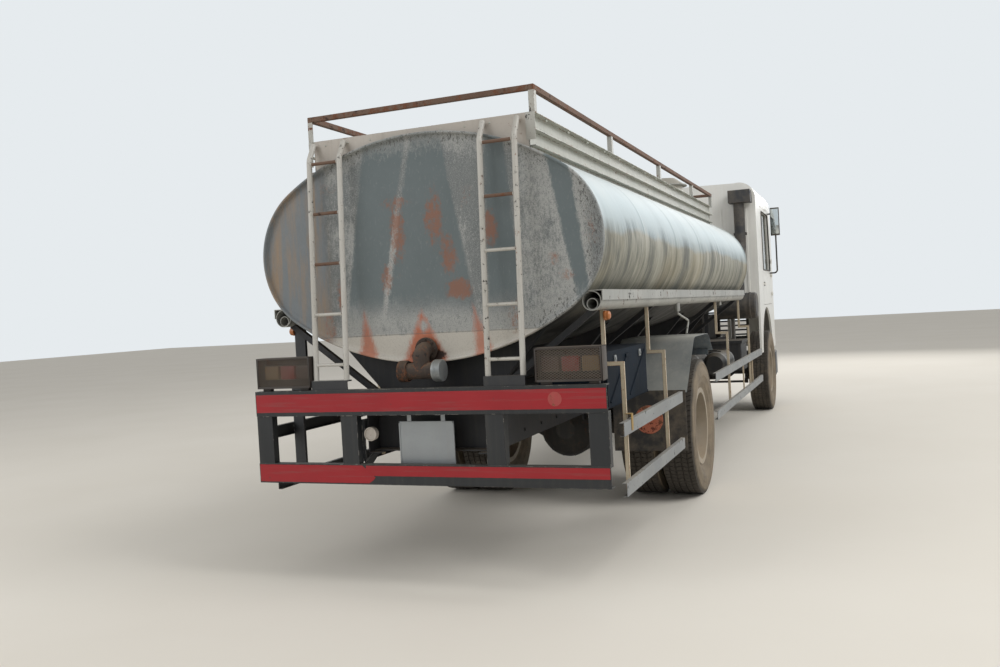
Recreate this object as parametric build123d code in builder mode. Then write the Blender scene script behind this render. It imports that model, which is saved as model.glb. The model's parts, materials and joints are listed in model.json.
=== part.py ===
"""A two-axle water tanker lorry: cab-over tractor with a long ladder frame and an oval tank.

Millimetres. +Z is up, the lorry faces -Y and its left side is +X. The origin lies on the ground,
midway between the front and rear bumpers, on the lorry's centre line.
"""

import os
from math import atan2, cos, degrees, hypot, radians, sin, sqrt

from build123d import *

# Overall places along the lorry
length = 10850
front_y = -length / 2
rear_y = length / 2
rear_overhang = 3150
front_overhang = 1350
rear_axle_y = rear_y - rear_overhang
front_axle_y = front_y + front_overhang
cab_length = 2150
cab_to_tank = 1420
cab_front_y = front_y + 100
cab_rear_y = cab_front_y + cab_length

# Tyres and wheels
tyre_radius = 600
tyre_width = 300
bead_radius = 306
bead_width = 236
rim_flange_radius = 342
rim_thickness = 9
wheel_face_x = 1245
dual_gap = 42
outer_tyre_x = wheel_face_x - tyre_width / 2
inner_tyre_x = outer_tyre_x - tyre_width - dual_gap
hub_radius = 150
spindle_radius = 45
seat_gap = 0.3

# Ladder frame
frame_half_width = 430
rail_height = 260
rail_flange = 80
rail_web = 9
frame_top = 1100
frame_front_y = front_y + 160
frame_rear_y = rear_y - 102
crossmember_depth = 90

# Tank
tank_half_width = 1210
tank_half_height = 738
tank_side_radius = 530
tank_centre_z = 2156
tank_rear_y = rear_y - 160
tank_front_y = cab_rear_y + cab_to_tank
head_dish = 30
rim_width = 40
rim_proud = 8
subframe_height = 140
subframe_width = 70
saddle_thickness = 60

# Top fittings
coaming_x = 810
coaming_flange = 45
coaming_sheet = 6
coaming_bottom = 2722
coaming_top = 2930
coaming_rear_y = tank_rear_y - 40
coaming_front_y = tank_front_y + 60
handrail_top = 3098
handrail_size = 34
post_width = 48
manhole_x = -300
manhole_y = tank_front_y + 580
manhole_radius = 230
manhole_wall = 10
manhole_top = 3180
lid_radius = 285
lid_thickness = 14
lid_dome = 88
lid_hinge_y = manhole_y - lid_radius - 26
lid_hinge_z = manhole_top + 12
lid_pin_radius = 8
lid_ear_x = 90
ear_root = sqrt((manhole_radius - manhole_wall / 2) ** 2 - lid_ear_x ** 2)

# Side trays, hangers and guards
tray_top = 1820
tray_lip = 65
tray_sheet = 6
tray_outer_x = 1175
tray_rear_y = rear_y - 205
tray_front_y = tank_front_y + 130
hose_tube_radius = 60
hose_tube_wall = 5
hanger_size = 25
hanger_inner_x = 1100
hanger_step_z = 1356
guard_face_x = 1255
guard_depth = 30
guard_sheet = 4
guard_height = 84
guard_top = {"upper": 1010, "lower": 645}

# Rear bumper and lamps
bumper_half_width = 1225
bumper_beam_top = 1269
bumper_beam_height = 168
bumper_beam_depth = 64
bumper_sheet = 8
under_beam_top = 785
under_beam_height = 130
under_beam_depth = 64
bumper_post_width = 122
inner_post_x = 510
cage_width = 420
cage_height = 205
cage_depth = 110
cage_sheet = 5
cage_outer_x = 1205
cage_foot = 18
cage_mesh_pitch = 48
cage_mesh_bar = 7
cage_mesh_slope = 35
cage_mesh_border = 8
cage_mesh_sheet = 3

# Ladders
ladder_width = 230
ladder_tube_radius = 18
rung_radius = 11
rung_pitch = 333
first_rung_z = 1432
rung_count = 5
ladder_foot_z = 1330
ladder_hook_z = 2905
ladder_bend_z = 2790
ladder_y = rear_y - 45
ladder_top_y = rear_y - 115
ladder_foot_width = 270
ladder_foot_sheet = 8

# Cab
cab_half_width = 1200
cab_wall = 50
cab_floor_z = 1600
cab_skirt_bottom = 912
cab_waist_z = 2090
cab_screen_top = 3110
cab_roof_z = 3400
screen_lean = 170
roof_round = 235
corner_round = 110
pillar_width = 150
door_front_y = cab_front_y + 375
door_rear_y = cab_front_y + 1575
door_gap = 6
door_bottom_z = 1600
window_sill_z = 2130
window_margin = 90
glass_thickness = 8
arch_radius = 720
arch_top_z = 1560
tilt_y = front_y + 195
tilt_z = 930
tilt_pin_radius = 20
tilt_leg_x = 470
tilt_leg_width = 50
grille_half_width = 780
grille_bottom = 1040
grille_top = 1800
grille_bar = 26
grille_pitch = 76
rib_count = 13
rib_width = 26
rib_depth = 12

# Front bumper and steps
front_bumper_top = 838
front_bumper_bottom = 440
front_bumper_depth = 320
step_inner_x = 930
step_outer_x = cab_half_width + 5
step_rear_y = front_y + 620
tow_half = 75
tow_y = front_y + 45
tow_bore_radius = 21
tow_plate = 22
tow_gap = 60
tow_bar_low = 520

# Front axle and steering
kingpin_x = 870
kingpin_radius = 20
kingpin_boss_radius = 48
axle_boss_height = 180
knuckle_lug = 40
steer_arm = 200
tie_rod_radius = 17
tie_pin_radius = 12
tie_eye_radius = 26

os.makedirs("parts", exist_ok=True)


# The tank's oval: a side arc and a crown arc in each quarter, which meet smoothly at the turn
side_centre_x = tank_half_width - tank_side_radius
crown_radius = (side_centre_x ** 2 + tank_half_height ** 2 - tank_side_radius ** 2) / (
    2 * (tank_half_height - tank_side_radius))
crown_drop = crown_radius - tank_half_height
turn_share = 1 / hypot(side_centre_x, crown_drop)


def oval_turn(grow):
    """Where the side arc meets the crown arc, from the oval's middle."""
    reach = (crown_radius + grow) * turn_share
    return reach * side_centre_x, reach * crown_drop - crown_drop


def tank_x_at(z, grow=0):
    """Half width of the tank's oval at height z."""
    rise = abs(z - tank_centre_z)
    if rise <= oval_turn(grow)[1]:
        return side_centre_x + sqrt((tank_side_radius + grow) ** 2 - rise ** 2)
    return sqrt(max(0.0, (crown_radius + grow) ** 2 - (rise + crown_drop) ** 2))


def tank_z_at(x, grow=0, below=False):
    """Height of the tank's skin over or under the point x from its centre line."""
    if abs(x) <= oval_turn(grow)[0]:
        rise = sqrt((crown_radius + grow) ** 2 - x ** 2) - crown_drop
    else:
        rise = sqrt(max(0.0, (tank_side_radius + grow) ** 2 - (abs(x) - side_centre_x) ** 2))
    return tank_centre_z - rise if below else tank_centre_z + rise


def block(x0, x1, y0, y1, z0, z1, mode=Mode.ADD):
    """A box between two corners, added to the part that is open."""
    with Locations(((x0 + x1) / 2, (y0 + y1) / 2, (z0 + z1) / 2)):
        Box(abs(x1 - x0), abs(y1 - y0), abs(z1 - z0), mode=mode)


def cross_profile(points, y0, y1, mode=Mode.ADD):
    """An outline given as (x, z), run from y0 to y1."""
    with BuildSketch(Plane.XZ.offset(-y1)) as outline:
        with BuildLine():
            Polyline(*points, close=True)
        make_face()
    extrude(outline.sketch, amount=y1 - y0, mode=mode)


def side_profile(points, x0, x1, mode=Mode.ADD):
    """An outline given as (y, z), run from x0 to x1."""
    with BuildSketch(Plane.YZ.offset(x0)) as outline:
        with BuildLine():
            Polyline(*points, close=True)
        make_face()
    extrude(outline.sketch, amount=x1 - x0, mode=mode)


def oval_run(y0, y1, grow=0, mode=Mode.ADD):
    """A length of the tank's oval from y0 to y1."""
    turn_x, turn_z = oval_turn(grow)
    side, crown = tank_half_width + grow, tank_half_height + grow
    corners = [(turn_x, turn_z), (turn_x, -turn_z), (-turn_x, -turn_z), (-turn_x, turn_z)]
    middles = [(side, 0), (0, -crown), (-side, 0), (0, crown)]
    with BuildSketch(Plane.XZ.offset(-y1)) as oval:
        with BuildLine():
            for i, (x, z) in enumerate(middles):
                start_x, start_z = corners[i]
                end_x, end_z = corners[(i + 1) % 4]
                ThreePointArc(
                    (start_x, tank_centre_z + start_z), (x, tank_centre_z + z),
                    (end_x, tank_centre_z + end_z),
                )
        make_face()
    extrude(oval.sketch, amount=y1 - y0, mode=mode)


def bar_between(a, b, width, depth):
    """A straight rectangular bar from point a to point b in a plane across the lorry; depth runs along Y."""
    run = hypot(b[0] - a[0], b[2] - a[2])
    middle = ((a[0] + b[0]) / 2, (a[1] + b[1]) / 2, (a[2] + b[2]) / 2)
    tilt = -degrees(atan2(b[2] - a[2], b[0] - a[0]))
    with Locations(Location(middle, (0, tilt, 0))):
        Box(run, depth, width)


# Ladder frame: two channel rails, open to the inside, with channels across between their webs
with BuildPart() as frame_rails:
    outer, inner = frame_half_width, frame_half_width - rail_flange
    web = outer - rail_web
    bottom = frame_top - rail_height
    channel = [
        (outer, bottom), (outer, frame_top), (inner, frame_top), (inner, frame_top - rail_web),
        (web, frame_top - rail_web), (web, bottom + rail_web), (inner, bottom + rail_web), (inner, bottom),
    ]
    cross_profile(channel, frame_front_y, frame_rear_y)
    mirror(about=Plane.YZ)
frame_rails.part.label = "frame_rails"
export_step(frame_rails.part, "parts/frame_rails.step")

crossmember_places = [
    frame_front_y + 60, front_axle_y + 1500, front_axle_y + 2900,
    rear_axle_y - 900, rear_axle_y + 950, frame_rear_y - 150,
]
with BuildPart() as frame_crossmembers:
    for y in crossmember_places:
        half = frame_half_width - rail_web
        low, high = frame_top - rail_height + rail_web, frame_top - rail_web
        web_end = y + rail_web
        block(-half, half, y, web_end, low, high)
        block(-half, half, web_end, y + crossmember_depth, high - rail_web, high)
        block(-half, half, web_end, y + crossmember_depth, low, low + rail_web)
frame_crossmembers.part.label = "frame_crossmembers"
export_step(frame_crossmembers.part, "parts/frame_crossmembers.step")

# Tank: a plain oval barrel with a rolled rim at each end and slightly dished heads
with BuildPart() as tank_barrel:
    oval_run(tank_front_y + head_dish, tank_rear_y - head_dish, grow=-rim_proud)
    oval_run(tank_rear_y - rim_width, tank_rear_y)
    oval_run(tank_front_y, tank_front_y + rim_width)
    oval_run(tank_rear_y - head_dish, tank_rear_y, grow=-rim_proud - rim_width / 4, mode=Mode.SUBTRACT)
    oval_run(tank_front_y, tank_front_y + head_dish, grow=-rim_proud - rim_width / 4, mode=Mode.SUBTRACT)
    with BuildSketch(Plane.XY.offset(tank_centre_z)):
        with Locations((manhole_x, manhole_y)):
            Circle(manhole_radius)
    extrude(amount=manhole_top - tank_centre_z)
    with Locations((manhole_x, manhole_y, manhole_top - 45)):
        Cylinder(manhole_radius - manhole_wall, 91, mode=Mode.SUBTRACT)
    for side in (-1, 1):
        ear = (manhole_x + side * lid_ear_x - 8, manhole_x + side * lid_ear_x + 8)
        block(*ear, lid_hinge_y - 14, manhole_y - ear_root, manhole_top - 70, manhole_top - 12)
        block(*ear, lid_hinge_y - 14, lid_hinge_y + 14, manhole_top - 13, lid_hinge_z + 14)
    with Locations(Location((manhole_x, lid_hinge_y, lid_hinge_z), (0, 90, 0))):
        Cylinder(lid_pin_radius + seat_gap, 2 * lid_ear_x + 40, mode=Mode.SUBTRACT)
tank_barrel.part.label = "tank_barrel"
export_step(tank_barrel.part, "parts/tank_barrel.step")

subframe_top = frame_top + subframe_height
# Tank cradle: long beams on the frame, saddle plates under the oval, and struts out to the trays
tray_inner_x = tank_x_at(tray_top, grow=seat_gap - rim_proud) + 1
hose_tube_x = tray_outer_x - tray_sheet - 5 - hose_tube_radius
hose_tube_z = tray_top - tray_sheet - hose_tube_radius + 1
saddle_top_x = 760
saddle_count = 5
saddle_first_y = tank_front_y + 420
saddle_last_y = tank_rear_y - 190
saddle_places = [
    saddle_first_y + i * (saddle_last_y - saddle_first_y) / (saddle_count - 1) for i in range(saddle_count)
]
strut_size = 40
strut_places = [y + saddle_thickness / 2 + strut_size / 2 for y in saddle_places]
strut_places = [y for y in strut_places if abs(y - rear_axle_y) > 900]
with BuildPart() as tank_cradle:
    for side in (-1, 1):
        block(
            side * (frame_half_width - subframe_width), side * frame_half_width,
            tank_front_y + 200, frame_rear_y, frame_top, subframe_top,
        )
    for y in saddle_places:
        shoulder_z = tank_z_at(saddle_top_x, below=True) + 20
        outline = [
            (-frame_half_width, subframe_top), (frame_half_width, subframe_top),
            (saddle_top_x, shoulder_z), (-saddle_top_x, shoulder_z),
        ]
        cross_profile(outline, y - saddle_thickness / 2, y + saddle_thickness / 2)
    for y in strut_places:
        for side in (-1, 1):
            foot = (side * (frame_half_width - 20), y, subframe_top - 45)
            head = (side * (hose_tube_x - 10), y, hose_tube_z - hose_tube_radius + 10)
            bar_between(foot, head, strut_size, strut_size)
    for side in (-1, 1):
        with BuildSketch(Plane.XZ.offset(-tank_rear_y)) as tube_clearance:
            with Locations((side * hose_tube_x, hose_tube_z)):
                Circle(hose_tube_radius + seat_gap)
        extrude(tube_clearance.sketch, amount=tank_rear_y - tank_front_y, mode=Mode.SUBTRACT)
    oval_run(tank_front_y, tank_rear_y, grow=seat_gap - rim_proud, mode=Mode.SUBTRACT)
tank_cradle.part.label = "tank_cradle"
export_step(tank_cradle.part, "parts/tank_cradle.step")

# Side trays: a turned-down sheet along each flank, a hose tube under it with a pipe stored inside,
# and on the right the outlet valve's crank and a small tap under the tube
stored_pipe_radius = 36
stored_pipe_length = 3000
stored_pipe_inset = 12
stored_pipe_z = hose_tube_z - hose_tube_radius + hose_tube_wall + stored_pipe_radius - 1
crank_x = -1135
crank_radius = 9
crank_points = [(rear_y - 2700, 1714), (rear_y - 2715, 1620), (rear_y - 3200, 1545), (rear_y - 3075, 1432)]
tap_y = tank_front_y + 1850
with BuildPart() as side_trays:
    corner = [
        (tray_inner_x, tray_top), (tray_outer_x, tray_top), (tray_outer_x, tray_top - tray_lip),
        (tray_outer_x - tray_sheet, tray_top - tray_lip), (tray_outer_x - tray_sheet, tray_top - tray_sheet),
        (tray_inner_x, tray_top - tray_sheet),
    ]
    cross_profile(corner, tray_front_y, tray_rear_y)
    oval_run(tank_front_y, tank_rear_y, grow=seat_gap - rim_proud, mode=Mode.SUBTRACT)
    with BuildSketch(Plane.XZ.offset(-tray_rear_y)):
        with Locations((hose_tube_x, hose_tube_z)):
            Circle(hose_tube_radius)
            Circle(hose_tube_radius - hose_tube_wall, mode=Mode.SUBTRACT)
    extrude(amount=tray_rear_y - tray_front_y)
    with BuildSketch(Plane.XZ.offset(-tray_rear_y + stored_pipe_inset)):
        with Locations((hose_tube_x, stored_pipe_z)):
            Circle(stored_pipe_radius)
            Circle(stored_pipe_radius - hose_tube_wall, mode=Mode.SUBTRACT)
    extrude(amount=stored_pipe_length)
    mirror(about=Plane.YZ)
    with BuildLine() as crank_line:
        FilletPolyline(*[(crank_x, y, z) for y, z in crank_points], radius=14)
    with BuildSketch(Plane(crank_line.line @ 0, z_dir=crank_line.line % 0)):
        Circle(crank_radius)
    sweep()
    with Locations((crank_x, crank_points[0][0], crank_points[0][1] - 40)):
        Cylinder(24, 70)
    with Locations((-hose_tube_x, tap_y, hose_tube_z - hose_tube_radius - 18)):
        Cylinder(20, 44)
side_trays.part.label = "side_trays"
export_step(side_trays.part, "parts/side_trays.step")

# Guard hangers: square bar with a step outwards, coped onto the hose tube; the rearmost on the left
# is a wide flat bar
hanger_outer_x = guard_face_x - guard_depth - hanger_size / 2
hanger_places = [rear_y - 440, rear_y - 1680, tank_front_y + 2150, tank_front_y + 250]
hanger_foot_z = guard_top["lower"] - guard_height + 10
guard_bar_size = 16
wide_hanger_extra = 60
guard_bar_places = [tank_front_y + 1120, tank_front_y + 205]
with BuildPart() as guard_hangers:
    half = hanger_size / 2
    outlines = []
    for extra in (0, wide_hanger_extra):
        top = (hanger_inner_x - half, hanger_inner_x + half + extra)
        foot = (hanger_outer_x - half - extra, hanger_outer_x + half)
        step = (hanger_step_z - half, hanger_step_z + half)
        outlines.append([
            (top[0], hose_tube_z), (top[1], hose_tube_z), (top[1], step[1]), (foot[1], step[1]),
            (foot[1], hanger_foot_z), (foot[0], hanger_foot_z), (foot[0], step[0]), (top[0], step[0]),
        ])
    for y in hanger_places:
        cross_profile(outlines[0], y - half, y + half)
    with BuildSketch(Plane.XZ.offset(-rear_y)):
        with Locations((hose_tube_x, hose_tube_z)):
            Circle(hose_tube_radius + seat_gap)
    extrude(amount=length, mode=Mode.SUBTRACT)
    for y in guard_bar_places:
        block(
            guard_face_x - guard_depth + 3, guard_face_x - guard_depth + 3 + guard_bar_size,
            y - guard_bar_size / 2, y + guard_bar_size / 2,
            guard_top["lower"] + seat_gap, guard_top["upper"] - guard_height - seat_gap,
        )
    mirror(about=Plane.YZ)
    cross_profile(outlines[1], hanger_places[0] - half, hanger_places[0] + half)
    with BuildSketch(Plane.XZ.offset(-hanger_places[0] - hanger_size)):
        with Locations((hose_tube_x, hose_tube_z)):
            Circle(hose_tube_radius + seat_gap)
    extrude(amount=2 * hanger_size, mode=Mode.SUBTRACT)
guard_hangers.part.label = "guard_hangers"
export_step(guard_hangers.part, "parts/guard_hangers.step")

# Side guards: channel rails, web outwards, ahead of and behind the rear wheels
guard_runs = [(rear_y - 2120, rear_y - 240), (tank_front_y - 820, rear_axle_y - 700)]
with BuildPart() as side_guards:
    for top in guard_top.values():
        low = top - guard_height
        back = guard_face_x - guard_depth
        web = guard_face_x - guard_sheet
        channel = [
            (back, top), (guard_face_x, top), (guard_face_x, low), (back, low),
            (back, low + guard_sheet), (web, low + guard_sheet),
            (web, top - guard_sheet), (back, top - guard_sheet),
        ]
        for y0, y1 in guard_runs:
            cross_profile(channel, y0, y1)
    mirror(about=Plane.YZ)
side_guards.part.label = "side_guards"
export_step(side_guards.part, "parts/side_guards.step")

# Top coaming: two outward channels stacked on each side, and a board across each end
with BuildPart() as coaming_sides:
    web_x = coaming_x - coaming_flange
    middle = (coaming_bottom + coaming_top) / 2
    sheet = coaming_sheet
    double_channel = [
        (web_x, coaming_top), (coaming_x, coaming_top), (coaming_x, coaming_top - sheet),
        (web_x + sheet, coaming_top - sheet), (web_x + sheet, middle + sheet), (coaming_x, middle + sheet),
        (coaming_x, middle - sheet), (web_x + sheet, middle - sheet), (web_x + sheet, coaming_bottom + sheet),
        (coaming_x, coaming_bottom + sheet), (coaming_x, coaming_bottom), (web_x + sheet, coaming_bottom),
        (web_x + sheet, coaming_bottom - 30), (web_x, coaming_bottom - 30),
    ]
    cross_profile(double_channel, coaming_front_y, coaming_rear_y)
    oval_run(tank_front_y, tank_rear_y, grow=seat_gap - rim_proud, mode=Mode.SUBTRACT)
    mirror(about=Plane.YZ)
coaming_sides.part.label = "coaming_sides"
export_step(coaming_sides.part, "parts/coaming_sides.step")

with BuildPart() as coaming_ends:
    for y in (coaming_front_y, coaming_rear_y - sheet):
        block(-web_x, web_x, y, y + sheet, coaming_bottom - 100, coaming_top)
    oval_run(tank_front_y, tank_rear_y, grow=seat_gap - rim_proud, mode=Mode.SUBTRACT)
coaming_ends.part.label = "coaming_ends"
export_step(coaming_ends.part, "parts/coaming_ends.step")

# Handrail: square tube on angle posts
handrail_bottom = handrail_top - handrail_size
post_places = [
    coaming_rear_y - post_width / 2, rear_y - 2060, rear_y - 3900, tank_front_y + 1480,
    coaming_front_y + post_width / 2,
]
with BuildPart() as handrail_sides:
    for y in post_places:
        block(coaming_x - 6, coaming_x, y - post_width / 2, y + post_width / 2, coaming_top, handrail_bottom)
        block(
            coaming_x - 36, coaming_x - 6, y + post_width / 2 - 6, y + post_width / 2,
            coaming_top, handrail_bottom,
        )
    block(
        coaming_x - handrail_size, coaming_x, coaming_front_y, coaming_rear_y,
        handrail_bottom, handrail_top,
    )
    mirror(about=Plane.YZ)
handrail_sides.part.label = "handrail_sides"
export_step(handrail_sides.part, "parts/handrail_sides.step")

with BuildPart() as handrail_ends:
    for y in (coaming_front_y, coaming_rear_y - handrail_size):
        reach = coaming_x - handrail_size
        block(-reach, reach, y, y + handrail_size, handrail_bottom, handrail_top)
handrail_ends.part.label = "handrail_ends"
export_step(handrail_ends.part, "parts/handrail_ends.step")

# Manhole lid: domed, hinged on the neck's front side
with BuildPart() as manhole_lid:
    with Locations((manhole_x, manhole_y, manhole_top + seat_gap + lid_thickness / 2)):
        Cylinder(lid_radius, lid_thickness)
    with Locations((manhole_x, manhole_y, manhole_top + seat_gap + lid_thickness + lid_dome / 2)):
        Cone(lid_radius - 25, lid_radius / 2, lid_dome)
    for side in (-1, 1):
        tab_x = manhole_x + side * 60
        block(
            tab_x - 12, tab_x + 12, lid_hinge_y - 10, manhole_y - lid_radius + 40,
            manhole_top + seat_gap, manhole_top + 26,
        )
    with Locations(Location((manhole_x, lid_hinge_y, lid_hinge_z), (0, 90, 0))):
        Cylinder(lid_pin_radius, 2 * lid_ear_x + 20)
manhole_lid.part.label = "manhole_lid"
export_step(manhole_lid.part, "parts/manhole_lid.step")

# Rear bumper: two channels, open to the front, with four flat posts between them
with BuildPart() as rear_bumper:
    for top, high, deep in (
        (bumper_beam_top, bumper_beam_height, bumper_beam_depth),
        (under_beam_top, under_beam_height, under_beam_depth),
    ):
        sheet = bumper_sheet
        channel = [
            (rear_y - deep, top), (rear_y, top), (rear_y, top - high), (rear_y - deep, top - high),
            (rear_y - deep, top - high + sheet), (rear_y - sheet, top - high + sheet),
            (rear_y - sheet, top - sheet), (rear_y - deep, top - sheet),
        ]
        side_profile(channel, -bumper_half_width, bumper_half_width)
    outer_post_x = bumper_half_width - bumper_post_width / 2
    for x in (-outer_post_x, -inner_post_x, inner_post_x, outer_post_x):
        block(
            x - bumper_post_width / 2, x + bumper_post_width / 2, rear_y - under_beam_depth, rear_y - 6,
            under_beam_top, bumper_beam_top - bumper_beam_height,
        )
    arm_front = frame_rear_y - 300
    post_front = rear_y - under_beam_depth
    rail_low = frame_top - rail_height + 20
    arm = [
        (arm_front, frame_top - 30), (post_front, frame_top - 30), (post_front, frame_top - 120),
        (arm_front, frame_top - 120),
    ]
    strut = [
        (post_front, under_beam_top + 10), (post_front, under_beam_top - 70), (arm_front + 90, rail_low),
        (arm_front, rail_low), (arm_front, rail_low + 60),
    ]
    for side in (-1, 1):
        for plate in (arm, strut):
            side_profile(plate, side * frame_half_width, side * (frame_half_width + 14))
        block(
            side * frame_half_width, side * (inner_post_x + bumper_post_width / 2),
            rear_y - under_beam_depth - 12, rear_y - under_beam_depth, under_beam_top + 10, frame_top - 30,
        )
rear_bumper.part.label = "rear_bumper"
export_step(rear_bumper.part, "parts/rear_bumper.step")

# Number plate on its bracket, hung from the upper beam
plate_width, plate_height = 392, 290
with BuildPart() as number_plate:
    block(-plate_width / 2, plate_width / 2, rear_y - 100, rear_y - 97, 760, 760 + plate_height)
    for x in (-120, 120):
        plate_top = bumper_beam_top - bumper_beam_height
        block(x - 15, x + 15, rear_y - 104, rear_y - 100, 800, plate_top)
        block(x - 15, x + 15, rear_y - 104, rear_y - 20, plate_top - 4, plate_top)
number_plate.part.label = "number_plate"
export_step(number_plate.part, "parts/number_plate.step")

# Lamp cages: boxes open to the rear behind a lattice of crossed bars, on feet on the bumper
cage_bottom = bumper_beam_top + cage_foot
cage_rear_y = rear_y - 6
cage_inner_x = cage_outer_x - cage_width
with BuildPart() as lamp_cages:
    block(
        cage_inner_x, cage_outer_x, cage_rear_y - cage_depth, cage_rear_y,
        cage_bottom, cage_bottom + cage_height,
    )
    block(
        cage_inner_x + cage_sheet, cage_outer_x - cage_sheet,
        cage_rear_y - cage_depth + cage_sheet, cage_rear_y,
        cage_bottom + cage_sheet, cage_bottom + cage_height - cage_sheet, mode=Mode.SUBTRACT,
    )
    for x in (cage_inner_x + 60, cage_outer_x - 60):
        block(x - 30, x + 30, rear_y - bumper_beam_depth, cage_rear_y - 20, bumper_beam_top, cage_bottom)
    bar_run = cage_width + cage_height
    bar_count = int(bar_run / cage_mesh_pitch) + 1
    lattice_width, lattice_height = cage_width - 2 * cage_sheet, cage_height - 2 * cage_sheet
    cage_middle = ((cage_inner_x + cage_outer_x) / 2, cage_bottom + cage_height / 2)
    with BuildSketch(Plane.XZ.offset(-cage_rear_y)):
        for slope in (cage_mesh_slope, -cage_mesh_slope):
            with Locations(Location((*cage_middle, 0), (0, 0, slope))):
                with GridLocations(1, cage_mesh_pitch, 1, bar_count):
                    Rectangle(2 * bar_run, cage_mesh_bar)
        with Locations(cage_middle):
            Rectangle(lattice_width, lattice_height, mode=Mode.INTERSECT)
    with BuildSketch(Plane.XZ.offset(-cage_rear_y)):
        with Locations(cage_middle):
            Rectangle(lattice_width, lattice_height)
            Rectangle(
                lattice_width - 2 * cage_mesh_border, lattice_height - 2 * cage_mesh_border,
                mode=Mode.SUBTRACT,
            )
    extrude(amount=cage_mesh_sheet)
    mirror(about=Plane.YZ)
lamp_cages.part.label = "lamp_cages"
export_step(lamp_cages.part, "parts/lamp_cages.step")

# Tail lamps: three square lenses on the back wall of each cage, side marker lamps on the rear hangers,
# and one working lamp on the left rail's end
lens_width, lens_height, lens_depth = 118, 100, 60
marker_radius = 28
marker_depth = 42
marker_z = 1660
work_lamp_radius = 45
work_lamp_depth = 62
work_lamp_z = 975
with BuildPart() as tail_lamps:
    back_y = cage_rear_y - cage_depth + cage_sheet
    lens_z = cage_bottom + cage_height / 2
    for share in (0.2, 0.5, 0.8):
        x = cage_inner_x + cage_width * share
        block(
            x - lens_width / 2, x + lens_width / 2, back_y, back_y + lens_depth,
            lens_z - lens_height / 2, lens_z + lens_height / 2,
        )
    mirror(about=Plane.YZ)
    marker_x = hanger_inner_x + hanger_size / 2 + seat_gap + marker_depth / 2
    for x in (-marker_x, marker_x + wide_hanger_extra):
        with Locations(Location((x, hanger_places[0], marker_z), (0, 90, 0))):
            Cylinder(marker_radius, marker_depth)
    work_lamp_y = frame_rear_y + seat_gap + work_lamp_depth / 2
    with Locations(Location((frame_half_width - work_lamp_radius - 5, work_lamp_y, work_lamp_z), (90, 0, 0))):
        Cylinder(work_lamp_radius, work_lamp_depth)
tail_lamps.part.label = "tail_lamps"
export_step(tail_lamps.part, "parts/tail_lamps.step")

# Ladders: two tube rails with rungs, leaned onto the coaming, each on an angle bracket on the bumper
ladder_places = (-585, 645)
ladder_lean = (ladder_top_y - ladder_y) / (ladder_bend_z - ladder_foot_z)
with BuildPart() as ladders:
    for x in ladder_places:
        for rail_x in (x - ladder_width / 2, x + ladder_width / 2):
            with BuildLine() as rail_line:
                FilletPolyline(
                    (rail_x, ladder_y, ladder_foot_z), (rail_x, ladder_top_y, ladder_bend_z),
                    (rail_x, coaming_rear_y + ladder_tube_radius, ladder_hook_z), radius=60,
                )
            with BuildSketch(Plane(rail_line.line @ 0, z_dir=rail_line.line % 0)):
                Circle(ladder_tube_radius)
            sweep()
        for i in range(rung_count):
            rung_z = first_rung_z + i * rung_pitch
            rung_y = ladder_y + ladder_lean * (rung_z - ladder_foot_z)
            with Locations(Location((x, rung_y, rung_z), (0, 90, 0))):
                Cylinder(rung_radius, ladder_width)
        foot = (x - ladder_foot_width / 2, x + ladder_foot_width / 2)
        foot_rear_y = ladder_y + 32
        block(*foot, foot_rear_y - 60, foot_rear_y, ladder_foot_z - ladder_foot_sheet, ladder_foot_z + 1)
        block(*foot, foot_rear_y - ladder_foot_sheet, foot_rear_y, bumper_beam_top, ladder_foot_z)
ladders.part.label = "ladders"
export_step(ladders.part, "parts/ladders.step")

# Discharge pipe: a flanged stub from the rear head, turned through a bend to an open collar
pipe_radius = 52
pipe_wall = 6
pipe_z = 1502
pipe_bend = 60
pipe_y = tank_rear_y + 75
elbow_z = pipe_z - 130
collar_radius = 66
collar_length = 60
pipe_open_x = 150
with BuildPart() as discharge_pipe:
    with BuildLine() as pipe_line:
        FilletPolyline(
            (0, tank_rear_y - head_dish, pipe_z), (0, pipe_y, pipe_z), (0, pipe_y, elbow_z),
            radius=pipe_bend,
        )
    with BuildSketch(Plane(pipe_line.line @ 0, z_dir=pipe_line.line % 0)):
        Circle(pipe_radius)
    sweep()
    with Locations(Location((0, pipe_y, elbow_z), (0, 90, 0))):
        Cylinder(pipe_radius, 2 * pipe_open_x - 2 * collar_length)
    for side in (-1, 1):
        with Locations(Location((side * (pipe_open_x - collar_length / 2), pipe_y, elbow_z), (0, 90, 0))):
            Cylinder(collar_radius, collar_length)
    with Locations(Location((pipe_open_x / 2, pipe_y, elbow_z), (0, 90, 0))):
        Cylinder(pipe_radius - pipe_wall, pipe_open_x, mode=Mode.SUBTRACT)
discharge_pipe.part.label = "discharge_pipe"
export_step(discharge_pipe.part, "parts/discharge_pipe.step")

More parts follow.
